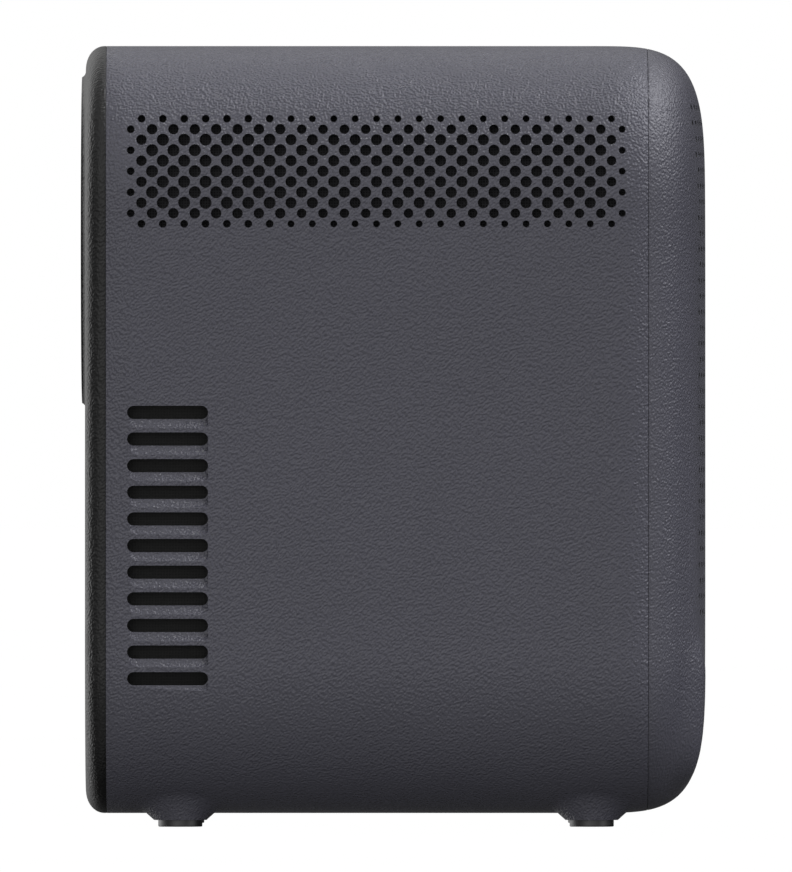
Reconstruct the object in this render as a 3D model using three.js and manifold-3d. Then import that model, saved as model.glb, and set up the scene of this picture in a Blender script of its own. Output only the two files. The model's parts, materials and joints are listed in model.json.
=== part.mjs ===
// Upright home projector with a sealed single-LCD light engine.
// Millimetres, +Z up. The lens looks along -Y, the ports face +Y, and the origin
// is on the floor under the middle of the case.
import * as THREE from "three";
import Module from "manifold-3d";

const wasm = await Module();
wasm.setup();
const { Manifold } = wasm;

// ---------------------------------------------------------------- dimensions
const WIDTH = 150; // case, across X
const REAR_Y = 81.2; // rearmost point of the crowned back
const FRONT_Y = -79.96; // flat face of the front panel
const RAISED_Y = -81.2; // face of the round raised plateau
const FRONT_SEAM_Y = -74.2; // front panel meets the sleeve
const REAR_SEAM_Y = 66.0; // rear cover meets the sleeve
const BODY_BOTTOM = 3.46;
const BODY_TOP = 202.7;
const WALL = 2.4;
const SEAM = 0.3; // gap at a seam
const GAP = 0.2; // gap between neighbours inside

const HALF_W = WIDTH / 2;
const HALF_H = (BODY_TOP - BODY_BOTTOM) / 2;
const ZC = (BODY_TOP + BODY_BOTTOM) / 2;
const CORNER_X = 36; // corner of the cross-section, across
const CORNER_Z = 42; // corner of the cross-section, up
const CORNER_N = 2.2;

const LENS_Z = 152.5; // optical axis above the floor
const PLATEAU_R = 42.5; // raised round plateau round the lens
const PLATEAU_FOOT_R = 45.5; // where its flared edge dies into the panel
const WINDOW_R = 29; // clear window
const TRIM_R = 33;

const FOOT_R = 5.75;
const FOOT_X = 46;
const FOOT_Y = [-55.0, 51.9];
const PEDESTAL_Z = 1.74; // underside of the pedestals that hold the feet

const SLOT_COUNT = 11; // side slots near the front, one above the other
const SLOT_Y = -58.4;
const SLOT_LENGTH = 21.0;
const SLOT_HEIGHT = 3.54;
const SLOT_TOP_Z = 107.3;
const SLOT_PITCH = 6.93;
const SLOT_RAMP = 2.45; // sloped lip under each slot

const VENT_PITCH_Z = 2.738; // vents high on the sides, in front of the speakers
const VENT_ROWS = 5;
const VENT_TOP_Z = 181.3;
const VENT_Y = -67.2;

const BUTTON_Y = 27.7;
const BUTTON_L = 7.2; // along Y
const BUTTON_W = 16; // along X
const BUTTON_PROUD = 0.1;
const BUTTON_TRAVEL = 1.0;

const BAY_Z = [14.6, 38]; // recess in the back that holds the sockets
const BAY_HALF_X = 49;
const BAY_RIB = [-18.5, -14.5]; // rib between the power inlet's half of it and the signal sockets' half
const PORT_PANEL_Y = 70;
const BOARD_Z = 16.2; // top of the main board

const ENGINE_X = 57; // light engine housing, half width
const ENGINE_Y = [-30, 38];
const ENGINE_Z = [60, 186];
const ENGINE_SLOPE = 162; // the sloped back is the plane y + z = this

const RING_TEETH = 40; // focus gears
const PINION_TEETH = 8;
const MODULE = 1.5;
const GEAR_CENTRES = 36.15;
const PINION_ANGLE = 225; // degrees round the lens axis, from +X towards +Z
const RING_Y = [-53, -46.4];

const FAN_SIZE = 80;
const FAN_Z = 54.2;
const FAN_Y = [-46, -31];

// ------------------------------------------------------------------- helpers
// Corners closer than a ten-thousandth of a millimetre or so become one.
function weld(positions, tolerance = 2e-4) {
  const cell = 1e-2;
  const cells = new Map();
  const kept = [];
  const index = new Uint32Array(positions.length / 3);
  for (let i = 0; i < index.length; i++) {
    const p = [positions[3 * i], positions[3 * i + 1], positions[3 * i + 2]];
    const c = p.map((v) => Math.floor(v / cell));
    let found = -1;
    for (let k = 0; k < 27 && found < 0; k++) {
      const key = `${c[0] + (k % 3) - 1},${c[1] + (Math.floor(k / 3) % 3) - 1},${c[2] + Math.floor(k / 9) - 1}`;
      for (const j of cells.get(key) ?? [])
        if (Math.hypot(kept[3 * j] - p[0], kept[3 * j + 1] - p[1], kept[3 * j + 2] - p[2]) < tolerance) {
          found = j;
          break;
        }
    }
    if (found < 0) {
      found = kept.length / 3;
      kept.push(...p);
      const key = c.join(",");
      if (!cells.has(key)) cells.set(key, []);
      cells.get(key).push(found);
    }
    index[i] = found;
  }
  return { kept: new Float32Array(kept), index };
}

function solid(geometry) {
  const g = geometry.index ? geometry.toNonIndexed() : geometry;
  const { kept, index } = weld(g.attributes.position.array);
  const tri = [];
  for (let i = 0; i < index.length; i += 3) {
    const [a, b, c] = [index[i], index[i + 1], index[i + 2]];
    if (a !== b && b !== c && a !== c) tri.push(a, b, c);
  }
  const make = (t) =>
    new Manifold(new wasm.Mesh({ numProp: 3, vertProperties: kept, triVerts: new Uint32Array(t) }));
  const s = make(tri);
  if (s.volume() > 0) return s;
  for (let i = 0; i < tri.length; i += 3)
    [tri[i + 1], tri[i + 2]] = [tri[i + 2], tri[i + 1]];
  return make(tri);
}

function geometryOf(s) {
  const m = s.getMesh();
  const v = new Float32Array(m.numVert * 3);
  for (let i = 0; i < m.numVert; i++)
    v.set(m.vertProperties.subarray(i * m.numProp, i * m.numProp + 3), i * 3);
  const g = new THREE.BufferGeometry();
  g.setAttribute("position", new THREE.BufferAttribute(v, 3));
  g.setIndex(new THREE.BufferAttribute(new Uint32Array(m.triVerts), 1));
  g.computeVertexNormals();
  return g;
}

const join = (...list) => Manifold.union(list.flat());
const cut = (a, ...list) => a.subtract(Manifold.union(list.flat()));

function box(x0, x1, y0, y1, z0, z1) {
  const g = new THREE.BoxGeometry(x1 - x0, y1 - y0, z1 - z0);
  g.translate((x0 + x1) / 2, (y0 + y1) / 2, (z0 + z1) / 2);
  return solid(g);
}
// A disc, tube or stepped round piece round an axis along Y through (cx, cz): profile is [radius, y].
function turnY(profile, cx = 0, cz = 0, segments = 24) {
  const g = new THREE.LatheGeometry(
    profile.map(([r, y]) => new THREE.Vector2(r, y)),
    segments,
  );
  g.translate(cx, 0, cz);
  return solid(g);
}
// The same round an axis along Z: profile is [radius, z].
function turnZ(profile, cx = 0, cy = 0, segments = 24) {
  const g = new THREE.LatheGeometry(
    profile.map(([r, z]) => new THREE.Vector2(r, z)),
    segments,
  );
  g.rotateX(Math.PI / 2);
  g.translate(cx, cy, 0);
  return solid(g);
}
// The same round an axis along X: profile is [radius, x].
function turnX(profile, cy = 0, cz = 0, segments = 24) {
  const g = new THREE.LatheGeometry(
    profile.map(([r, x]) => new THREE.Vector2(r, x)),
    segments,
  );
  g.rotateZ(-Math.PI / 2);
  g.translate(0, cy, cz);
  return solid(g);
}
const rodY = (r, y0, y1, cx = 0, cz = 0, n = 24) =>
  turnY([[0, y0], [r, y0], [r, y1], [0, y1]], cx, cz, n);
const rodZ = (r, z0, z1, cx = 0, cy = 0, n = 24) =>
  turnZ([[0, z0], [r, z0], [r, z1], [0, z1]], cx, cy, n);
const rodX = (r, x0, x1, cy = 0, cz = 0, n = 24) =>
  turnX([[0, x0], [r, x0], [r, x1], [0, x1]], cy, cz, n);

function extruded(points, depth, matrix, holes = []) {
  const shape = new THREE.Shape(points.map((p) => new THREE.Vector2(...p)));
  for (const h of holes)
    shape.holes.push(new THREE.Path(h.map((p) => new THREE.Vector2(...p))));
  const g = new THREE.ExtrudeGeometry(shape, { depth, bevelEnabled: false });
  g.applyMatrix4(matrix);
  return solid(g);
}
// Outline in (y, z), swept along X.
const prismX = (points, x0, x1, holes) =>
  extruded(points, x1 - x0, new THREE.Matrix4().set(0, 0, 1, x0, 1, 0, 0, 0, 0, 1, 0, 0, 0, 0, 0, 1), holes);
// Outline in (x, z), swept along Y.
const prismY = (points, y0, y1, holes) =>
  extruded(points, y1 - y0, new THREE.Matrix4().set(1, 0, 0, 0, 0, 0, -1, y1, 0, 1, 0, 0, 0, 0, 0, 1), holes);
// Outline in (x, y), swept along Z.
const prismZ = (points, z0, z1, holes) =>
  extruded(points, z1 - z0, new THREE.Matrix4().set(1, 0, 0, 0, 0, 1, 0, 0, 0, 0, 1, z0, 0, 0, 0, 1), holes);

function rounded(cx, cy, w, h, r, n = 3) {
  const out = [];
  const at = [
    [cx + w / 2 - r, cy + h / 2 - r, 0],
    [cx - w / 2 + r, cy + h / 2 - r, 90],
    [cx - w / 2 + r, cy - h / 2 + r, 180],
    [cx + w / 2 - r, cy - h / 2 + r, 270],
  ];
  for (const [x, y, start] of at)
    for (let i = 0; i <= n; i++) {
      const a = ((start + (90 * i) / n) * Math.PI) / 180;
      out.push([x + r * Math.cos(a), y + r * Math.sin(a)]);
    }
  return out;
}

// A closed solid through rings of equal length, with flat ends.
function loft(rings) {
  const n = rings[0].length;
  const p = [];
  const t = [];
  rings.forEach((ring) => ring.forEach((v) => p.push(...v)));
  for (let r = 0; r + 1 < rings.length; r++)
    for (let i = 0; i < n; i++) {
      const j = (i + 1) % n;
      const [a, b, c, d] = [r * n + i, r * n + j, (r + 1) * n + j, (r + 1) * n + i];
      t.push(a, b, c, a, c, d);
    }
  const last = (rings.length - 1) * n;
  for (let i = 1; i + 1 < n; i++) {
    t.push(0, i + 1, i);
    t.push(last, last + i, last + i + 1);
  }
  const g = new THREE.BufferGeometry();
  g.setAttribute("position", new THREE.BufferAttribute(new Float32Array(p), 3));
  g.setIndex(t);
  return solid(g);
}

// ------------------------------------------------------- the case's own shape
// Cross-section outline with half sizes 1 by 1: flat sides and superelliptic corners.
function unitSection(n = 6) {
  const out = [];
  const x0 = HALF_W - CORNER_X;
  const z0 = HALF_H - CORNER_Z;
  const e = 2 / CORNER_N;
  for (const [sx, sz, up] of [[1, 1, true], [-1, 1, false], [-1, -1, true], [1, -1, false]])
    for (let i = 0; i <= n; i++) {
      const a = ((up ? i : n - i) / n) * (Math.PI / 2);
      const x = x0 + CORNER_X * Math.cos(a) ** e;
      const z = z0 + CORNER_Z * Math.sin(a) ** e;
      out.push([(sx * x) / HALF_W, (sz * z) / HALF_H]);
    }
  return out;
}
const SECTION = unitSection();
const superInset = (s, a, b, n) =>
  s >= a ? 0 : b * (1 - (1 - ((a - s) / a) ** n) ** (1 / n));
// How deep the crowned back lies at a distance x from the middle, seen from above.
const backDepth = (x) =>
  x <= 20 ? 0 : 27 * (1 - (1 - Math.min(1, ((x - 20) / 55) ** 2.7)) ** (1 / 2.7));
function rearHalfWidth(t) {
  if (t >= backDepth(HALF_W)) return HALF_W;
  let [lo, hi] = [0, HALF_W];
  for (let i = 0; i < 60; i++) {
    const mid = (lo + hi) / 2;
    if (backDepth(mid) < t) lo = mid;
    else hi = mid;
  }
  return lo;
}
const rearHalfHeight = (t) => HALF_H - superInset(t, 24, 36, 3.1);

function ring(y, w, h) {
  return SECTION.map(([x, z]) => [x * w, y, ZC + z * h]);
}
// Rings of the outside, or of a surface that lies `off` inside it.
function rearRings(depths, off = 0) {
  return depths.map((t) =>
    ring(REAR_Y - off - t, rearHalfWidth(t) - off, rearHalfHeight(t) - off),
  );
}
function frontRings(depths, off = 0) {
  return depths.map((s) => {
    const i = superInset(s, 5.3, 6.5, 2.05);
    return ring(FRONT_Y + off + s, HALF_W - i - off, HALF_H - i - off);
  });
}
const reversed = (list) => list.slice().reverse();
// Where the outside of the case's side wall lies at a height z.
function sideX(z) {
  const d = Math.abs(z - ZC) - (HALF_H - CORNER_Z);
  if (d <= 0) return HALF_W;
  return HALF_W - CORNER_X + CORNER_X * (1 - Math.min(1, d / CORNER_Z) ** CORNER_N) ** (1 / CORNER_N);
}

// ------------------------------------------------------------------ materials
const material = (color, roughness, metalness, more = {}) =>
  new THREE.MeshStandardMaterial({ color, roughness, metalness, ...more });
const M = {
  caseGrey: material(0x4b4b51, 0.62, 0),
  panelBlack: material(0x232324, 0.5, 0),
  trimBlack: material(0x0c0c0e, 0.18, 0),
  glass: material(0x10131a, 0.03, 0, { transparent: true, opacity: 0.4 }),
  lens: material(0x39414a, 0.02, 0, { transparent: true, opacity: 0.5 }),
  clear: material(0xcfd8dc, 0.05, 0, { transparent: true, opacity: 0.5 }),
  mirror: material(0xdfe3e6, 0.04, 1),
  rubber: material(0x1d1d1f, 0.75, 0),
  steel: material(0x9a9da1, 0.35, 1),
  brass: material(0xa98a4a, 0.35, 1),
  aluminium: material(0xb3b6ba, 0.4, 1),
  copper: material(0xb06a44, 0.35, 1),
  engine: material(0x17181a, 0.55, 0),
  nylon: material(0xd9d6cc, 0.45, 0),
  fan: material(0x101112, 0.5, 0),
  cloth: material(0x0b0b0d, 0.95, 0),
  board: material(0x12402a, 0.5, 0),
  paper: material(0x22221f, 0.9, 0),
  socket: material(0x0e0e0f, 0.4, 0),
  lcd: material(0x2a3440, 0.1, 0),
  led: material(0xe2d9a0, 0.4, 0),
};

function part(name, s, mat, position) {
  const m = new THREE.Mesh(geometryOf(s), mat);
  m.name = name;
  if (position) m.position.set(...position);
  return m;
}
const group = (position, ...children) => {
  const g = new THREE.Group();
  g.position.set(...position);
  g.add(...children);
  return g;
};

// =============================================================== main shell
const REAR_SEAM_T = REAR_Y - REAR_SEAM_Y; // the same seam, counted from the back
const sleeveRear = [REAR_SEAM_T + SEAM / 2, 17.3, 20, 24, 27.05];
const sleeveOuter = loft([
  ring(FRONT_SEAM_Y + SEAM / 2, HALF_W, HALF_H),
  ...reversed(rearRings(sleeveRear)),
]);
const sleeveCavity = loft([
  ring(FRONT_SEAM_Y - 2, HALF_W - WALL, HALF_H - WALL),
  ring(REAR_Y - 27.05, HALF_W - WALL, HALF_H - WALL),
  ...reversed(
    sleeveRear.slice(0, 4).map((t) => ring(REAR_Y - t, rearHalfWidth(t) - WALL, rearHalfHeight(t) - WALL)),
  ),
  ring(REAR_SEAM_Y + 2, rearHalfWidth(REAR_SEAM_T) - WALL - 0.2, rearHalfHeight(REAR_SEAM_T) - WALL - 0.2),
]);

const footAt = [];
for (const sx of [1, -1]) for (const y of FOOT_Y) footAt.push([sx * FOOT_X, y]);
const pedestals = footAt.map(([x, y]) =>
  turnZ(
    [[0, PEDESTAL_Z], [7.25, PEDESTAL_Z], [8.1, 2.6], [9.2, BODY_BOTTOM], [10, 8.2], [0, 8.2]],
    x, y, 16,
  ),
);
const footPockets = footAt.map(([x, y]) => rodZ(FOOT_R + 0.3, 1, 3.5, x, y, 16));

// One slot is a stadium through the wall, with a sloped lip from its lower edge out to the surface.
function slotCutter(side, index) {
  const z = SLOT_TOP_Z - SLOT_PITCH * index;
  const h = SLOT_HEIGHT;
  const l = SLOT_LENGTH;
  const hole = prismX(rounded(SLOT_Y, z, l, h, 1.5, 1), 66, 78);
  const deep = 1.5;
  const lower = z - h / 2;
  const lip = prismY(
    [[HALF_W - deep, lower + 1.2], [HALF_W + 0.6, lower + 1.2], [HALF_W + 0.6, lower - SLOT_RAMP * 1.4], [HALF_W - deep, lower + 0.2]],
    SLOT_Y - l / 2 + 1.0, SLOT_Y + l / 2 - 1.0,
  );
  const s = join(hole, lip);
  return side > 0 ? s : s.mirror([1, 0, 0]);
}
const slots = [];
for (const side of [1, -1])
  for (let i = 0; i < SLOT_COUNT; i++) slots.push(slotCutter(side, i));

// The staggered round vents, cut as six slits in each of five rows on either side.
const vents = [];
for (const side of [1, -1])
  for (let row = 0; row < VENT_ROWS; row++)
    for (let i = 0; i < 6; i++) {
      const z = VENT_TOP_Z - 2 * VENT_PITCH_Z * row;
      const y = VENT_Y + 21.4 * i;
      vents.push(box(side > 0 ? 60 : -78, side > 0 ? 78 : -60, y, y + 19.4, z - 1.2, z + 1.2));
    }

const SCREW_AT = [[30, -40], [-30, -40], [30, 40], [-30, 40]];
const screwHoles = SCREW_AT.flatMap(([x, y]) => [
  rodZ(1.9, 2, 8, x, y, 12),
  rodZ(3.5, 2, 4.9, x, y, 12),
]);
const tripodHole = rodZ(8.3, 2, 8, 0, 0, 16);
const buttonHole = prismZ(
  rounded(0, BUTTON_Y, BUTTON_W + 0.6, BUTTON_L + 0.6, (BUTTON_L + 0.6) / 2 - 0.01, 4), 196, 206,
);

const mainShell = cut(
  cut(join(sleeveOuter, ...pedestals), sleeveCavity),
  ...slots, ...vents, ...footPockets, ...screwHoles, tripodHole, buttonHole,
);

// =============================================================== front panel
const frontOuter = loft([
  ...frontRings([0.02, 0.35, 1.1, 2.1, 3.4, 5.3]),
  ring(FRONT_SEAM_Y - SEAM / 2, HALF_W, HALF_H),
]);
const plateau = turnY(
  [
    [0, RAISED_Y], [PLATEAU_R, RAISED_Y], [43.4, -80.6], [PLATEAU_FOOT_R, FRONT_Y],
    [PLATEAU_FOOT_R, FRONT_Y + 1.5], [0, FRONT_Y + 1.5],
  ],
  0, LENS_Z, 32,
);
const frontCavity = loft([
  ring(FRONT_Y + WALL, HALF_W - WALL - 2.2, HALF_H - WALL - 2.2),
  ring(FRONT_SEAM_Y + 2, HALF_W - WALL, HALF_H - WALL),
]);
const IR_Z = 34;
const frontPanel = cut(
  join(
    cut(join(frontOuter, plateau), frontCavity),
    rodY(32, -78, -74.4, 0, LENS_Z, 28), // dark collar behind the lens window
  ),
  rodY(TRIM_R + 0.3, -82, -78.6, 0, LENS_Z, 32),
  rodY(30.2, -82, -70, 0, LENS_Z, 32),
  rodY(3.2, -82, -70, 0, IR_Z, 16),
);

// ================================================================ rear cover
const coverDepths = [0.03, 0.35, 1.1, 2.3, 4.2, 7, 10.5, REAR_SEAM_T - SEAM / 2];
const coverOuter = loft(reversed(rearRings(coverDepths)));
const coverCavity = loft([
  ring(REAR_SEAM_Y - 2, rearHalfWidth(REAR_SEAM_T) - WALL, rearHalfHeight(REAR_SEAM_T) - WALL),
  ...reversed(rearRings([0.03, 0.6, 2.3, 5, 9, 12.2], WALL)),
]);
const coverSlits = [];
for (let row = 0; row < 10; row++)
  for (const sx of [-1, 1]) {
    const z = 184.2 - row * 13.8;
    const x0 = sx > 0 ? 3 : -45;
    coverSlits.push(box(x0, x0 + 42, 60, 90, z - 2.2, z + 2.2));
  }
const bayCuts = [[-BAY_HALF_X, BAY_RIB[0]], [BAY_RIB[1], BAY_HALF_X]].map(([a, b]) =>
  prismY(rounded((a + b) / 2, (BAY_Z[0] + BAY_Z[1]) / 2, b - a, BAY_Z[1] - BAY_Z[0], 5, 3), 60, 90),
);
// The wall of the socket recess, a rounded frame that runs in from the back.
const bayWall = prismY(
  rounded(0, (BAY_Z[0] + BAY_Z[1]) / 2, BAY_HALF_X * 2 + 3.2, BAY_Z[1] - BAY_Z[0] + 3.2, 6.6, 3),
  PORT_PANEL_Y + GAP, 80,
).intersect(coverOuter);
const rearCover = cut(join(cut(coverOuter, coverCavity), bayWall), ...bayCuts, ...coverSlits);

const PORT_Z = BOARD_Z + 4.4;
const portPanel = cut(
  prismY(rounded(0, (BAY_Z[0] + BAY_Z[1]) / 2, BAY_HALF_X * 2 + 3, BAY_Z[1] - BAY_Z[0] + 3, 6.5, 3), PORT_PANEL_Y - 2, PORT_PANEL_Y),
  box(-40.2, -21.8, 66, 72, 18.9, 29.9),
  box(-10.9, 5.9, 66, 72, PORT_Z - 3.4, PORT_Z + 3.4),
  box(12.1, 27.9, 66, 72, PORT_Z - 4.1, PORT_Z + 4.1),
  rodY(4.2, 66, 72, 37, PORT_Z, 16),
  rodY(1.6, 66, 72, -44.5, 32.5, 12),
  rodY(1.6, 66, 72, 44.5, 32.5, 12),
);

// ============================================================== small screws
function screwZ(length) {
  const body = turnZ([[0, 0], [2.6, 0], [3.0, 0.5], [3.0, 1.1], [1.35, 1.1], [1.35, length], [0, length + 0.8]], 0, 0, 10);
  return cut(body, box(-1.6, 1.6, -0.35, 0.35, -1, 0.7));
}
const screwY = (length) => {
  const body = turnY([[0, 0], [2.6, 0], [2.9, -0.4], [2.9, -1.1], [1.25, -1.1], [1.25, -length], [0, -length - 0.8]], 0, 0, 10);
  return cut(body, box(-1.6, 1.6, -0.7, 1, -0.35, 0.35));
};

// ================================================================ base frame
const BOARD_POSTS = [[40, 4], [-40, 4], [40, 54], [-40, 54]];
const baseFrame = cut(
  join(
    prismZ([[-38, -62], [38, -62], [50, -45], [50, 61], [-50, 61], [-50, -45]], 8.8, 10.8),
    box(44, 49.6, 57.4, 60.7, 10, 62), box(-49.6, -44, 57.4, 60.7, 10, 62), // uprights behind the power board
    // posts that carry the light engine
    box(45, 50, -29, -23, 10, 59.7), box(-50, -45, -29, -23, 10, 59.7),
    box(45, 50, 31, 37, 10, 59.7), box(-50, -45, 31, 37, 10, 59.7),
    // pad under the fan, posts under the main board, bosses for the case screws
    box(-34, 34, -45, -32, 10, 13.8),
    ...BOARD_POSTS.map(([x, y]) => rodZ(3, 10, 14.4, x, y, 8)),
    ...SCREW_AT.map(([x, y]) => rodZ(4.2, 6.1, 13, x, y, 8)),
    rodZ(11, 6.1, 12, 0, 0, 12),
  ),
  ...SCREW_AT.map(([x, y]) => rodZ(1.6, 5, 14, x, y, 8)),
  rodZ(6.6, 5, 14, 0, 0, 16),
  // openings that let air up from below
  box(14, 26, -24, 24, 5, 11), box(-26, -14, -24, 24, 5, 11),
);

// Threaded metal insert for a stand, flush with the underside. The thread is left as a plain 6.4 mm hole.
const tripodInsert = cut(
  turnZ([[0, BODY_BOTTOM], [8, BODY_BOTTOM], [8, 5.4], [6.3, 5.4], [6.3, 14.4], [0, 14.4]], 0, 0, 16),
  rodZ(3.2, 3, 12.5, 0, 0, 16),
);

// ============================================================== light engine
const slopeY = (z) => ENGINE_SLOPE - z;
function enginePolygon(off) {
  const o = off;
  const k = off * Math.SQRT2;
  return [
    [ENGINE_Y[0] + o, ENGINE_Z[0] + o],
    [ENGINE_Y[1] - o, ENGINE_Z[0] + o],
    [ENGINE_Y[1] - o, ENGINE_SLOPE - k - (ENGINE_Y[1] - o)],
    [slopeY(ENGINE_Z[1] - o) - k, ENGINE_Z[1] - o],
    [ENGINE_Y[0] + o, ENGINE_Z[1] - o],
  ];
}
const ribs = [];
for (const z of [75.8, 85.8, 95.2, 105.6]) {
  ribs.push(box(-55.5, 54, ENGINE_Y[0] + 1, ENGINE_Y[0] + 5, z - 1.4, z));
  ribs.push(box(-55.5, 54, ENGINE_Y[1] - 5, ENGINE_Y[1] - 1, z - 1.4, z));
}
const engineHousing = cut(
  join(
    cut(prismX(enginePolygon(0), -ENGINE_X, ENGINE_X), prismX(enginePolygon(2), -ENGINE_X + 2, ENGINE_X + 2)),
    ...ribs,
    ...[[32, -18], [-32, -18], [32, 26], [-32, 26]].map(([x, y]) => rodZ(3, 56.3, 61, x, y, 8)), // feet on the heat sink
  ),
  rodY(27, -40, -20, 0, LENS_Z, 24),
  box(-18, 18, -14, 22, 55, 66),
  // ducts from the circulating blower, one above and one below the LCD
  box(-60, -50, -8, 16, 98.8, 104.4), box(-60, -50, -8, 16, 88.2, 93.6),
);
const engineSideCover = cut(
  prismX(enginePolygon(0), 0, 2),
  prismX(rounded(4, 100, 30, 22, 4, 2), -1, 0.6),
);

const fresnelPlate = (z) => box(-54.4, 54.4, ENGINE_Y[0] + 2.3, ENGINE_Y[1] - 2.3, z, z + 1.8);
const lcdPanel = join(
  box(-54.4, 54.4, ENGINE_Y[0] + 2.3, ENGINE_Y[1] - 2.3, 95.4, 97.2),
  box(-50, 50, -26, 34, 97, 98.2),
);
const condenserLens = turnZ(
  [[0, 62.3], [21, 62.3], [21, 64], [19.5, 67.2], [16, 70.8], [11, 73.6], [5.5, 75.1], [0, 75.5]],
  0, 4, 20,
);
const ledModule = join(
  box(-22, 22, -18, 26, 56.2, 57.9),
  box(-12, 12, -8, 16, 57.5, 58.9),
  box(-20, -14, 17, 24, 57.5, 59.6),
);
const fins = [];
for (let i = 0; i < 13; i++) fins.push(box(-41.4 + 6.8 * i, -40.2 + 6.8 * i, -26, 34, 22, 52));
const heatSink = join(box(-41.4, 41.4, -26, 34, 50.4, 56), ...fins);

// Lens carrier: flange on the engine, short tube, three hooks over the focus ring.
const hooks = [90, 150, 330].map((deg) => {
  const a = (deg * Math.PI) / 180;
  const s = join(box(33, 35.4, -54.9, -31, -2.5, 2.5), box(29.6, 35.4, -54.9, -53.4, -2.5, 2.5));
  return s.rotate([0, -deg, 0]);
});
const lensHolder = cut(
  join(
    prismY(rounded(0, 0, 74, 74, 6, 2), -33.2, ENGINE_Y[0] - GAP),
    turnY([[0, -46], [28.6, -46], [28.6, -31], [0, -31]], 0, 0, 24),
    ...hooks,
  ),
  rodY(26.1, -60, -20, 0, 0, 24),
);
const lensBarrel = cut(
  turnY([[0, -68], [25.2, -68], [25.7, -67.3], [25.7, -36], [0, -36]], 0, 0, 24),
  turnY([[0, -70], [23.6, -70], [22.3, -62.3], [22.3, -56.7], [20.5, -56.4], [20.5, -42.8], [22.3, -42.6], [22.3, -34], [0, -34]], 0, 0, 24),
);
const frontLens = turnY([[0, -62.1], [8, -61.9], [16, -61.2], [22, -59.9], [22, -57.2], [0, -57.2]], 0, 0, 24);
const rearLens = turnY([[0, -42.4], [22, -42.4], [22, -40], [14, -38.2], [7, -37.4], [0, -37.2]], 0, 0, 24);

// Spur gear outline round the origin. `radii` run from the root to the tip; `thin` is the play on a tooth.
function gearOutline(teeth, radii, thin, phase) {
  const r = (teeth * MODULE) / 2;
  const alpha = (20 * Math.PI) / 180;
  const rb = r * Math.cos(alpha);
  const inv = (x) => Math.tan(x) - x;
  const half = (Math.PI * MODULE - 2 * thin) / 4 / r;
  const flank = (rad) => half + inv(alpha) - (rad <= rb ? 0 : inv(Math.acos(rb / rad)));
  const out = [];
  for (let k = 0; k < teeth; k++) {
    const c = phase + (k * 2 * Math.PI) / teeth;
    for (const rad of radii) out.push([rad * Math.cos(c - flank(rad)), rad * Math.sin(c - flank(rad))]);
    for (const rad of reversed(radii)) out.push([rad * Math.cos(c + flank(rad)), rad * Math.sin(c + flank(rad))]);
  }
  return out;
}
const circle = (r, n) => Array.from({ length: n }, (_, i) => [r * Math.cos((2 * Math.PI * i) / n), r * Math.sin((2 * Math.PI * i) / n)]);
const focusRing = prismY(gearOutline(RING_TEETH, [28.4, 30.7], 0.3, 0), RING_Y[0], RING_Y[1], [reversed(circle(26.4, 24))]);
const pinionAt = [
  GEAR_CENTRES * Math.cos((PINION_ANGLE * Math.PI) / 180),
  GEAR_CENTRES * Math.sin((PINION_ANGLE * Math.PI) / 180),
];
// A gap of the pinion faces a tooth of the ring along the line of centres.
const PINION_PHASE = Math.PI / PINION_TEETH;
const focusPinion = join(
  prismY(gearOutline(PINION_TEETH, [5.0, 5.7, 6.3, 7.2], 0.3, PINION_PHASE), -52.6, -46.8),
  rodY(1.2, -53.4, -45.4, 0, 0, 12),
);
const focusMotor = join(
  rodY(7, -45.1, -33.5, 0, 0, 16),
  box(-9.5, 9.5, -34.6, -33.4, -3, 3).rotate([0, 45, 0]),
);

const mirrorPlate = box(-54, 54, -41, 41, -1.5, 1.5);

// ================================================================== cooling
const fanFrame = (() => {
  const [y0, y1] = FAN_Y;
  const s = cut(
    prismY(rounded(0, 0, FAN_SIZE, FAN_SIZE, 4, 2), y0, y1),
    rodY(38, y0 - 1, y1 + 1, 0, 0, 32),
  );
  const spokes = [45, 135, 225, 315].map((deg) =>
    box(10, 39, y1 - 2.2, y1, -1.6, 1.6).rotate([0, deg, 0]),
  );
  const holes = [];
  for (const a of [-1, 1]) for (const b of [-1, 1]) holes.push(rodY(2.2, y0 - 1, y1 + 1, 35.7 * a, 35.7 * b, 8));
  return cut(join(s, rodY(13, y1 - 2.2, y1, 0, 0, 16), ...spokes), ...holes);
})();
const fanRotor = (() => {
  const blades = [];
  for (let i = 0; i < 7; i++) {
    const g = new THREE.BoxGeometry(24.5, 1.2, 13.5);
    g.rotateX((52 * Math.PI) / 180);
    g.translate(24.3, 0, 0);
    g.rotateY((i * 2 * Math.PI) / 7);
    blades.push(solid(g));
  }
  const hub = cut(
    turnY([[0, -6.2], [13.4, -6.2], [14.4, -5.2], [14.4, 5], [0, 5]], 0, 0, 16),
    rodY(12.4, -4.2, 8, 0, 0, 16),
  );
  return join(hub, ...blades, rodY(1.5, -5, 5, 0, 0, 8));
})();

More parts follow.
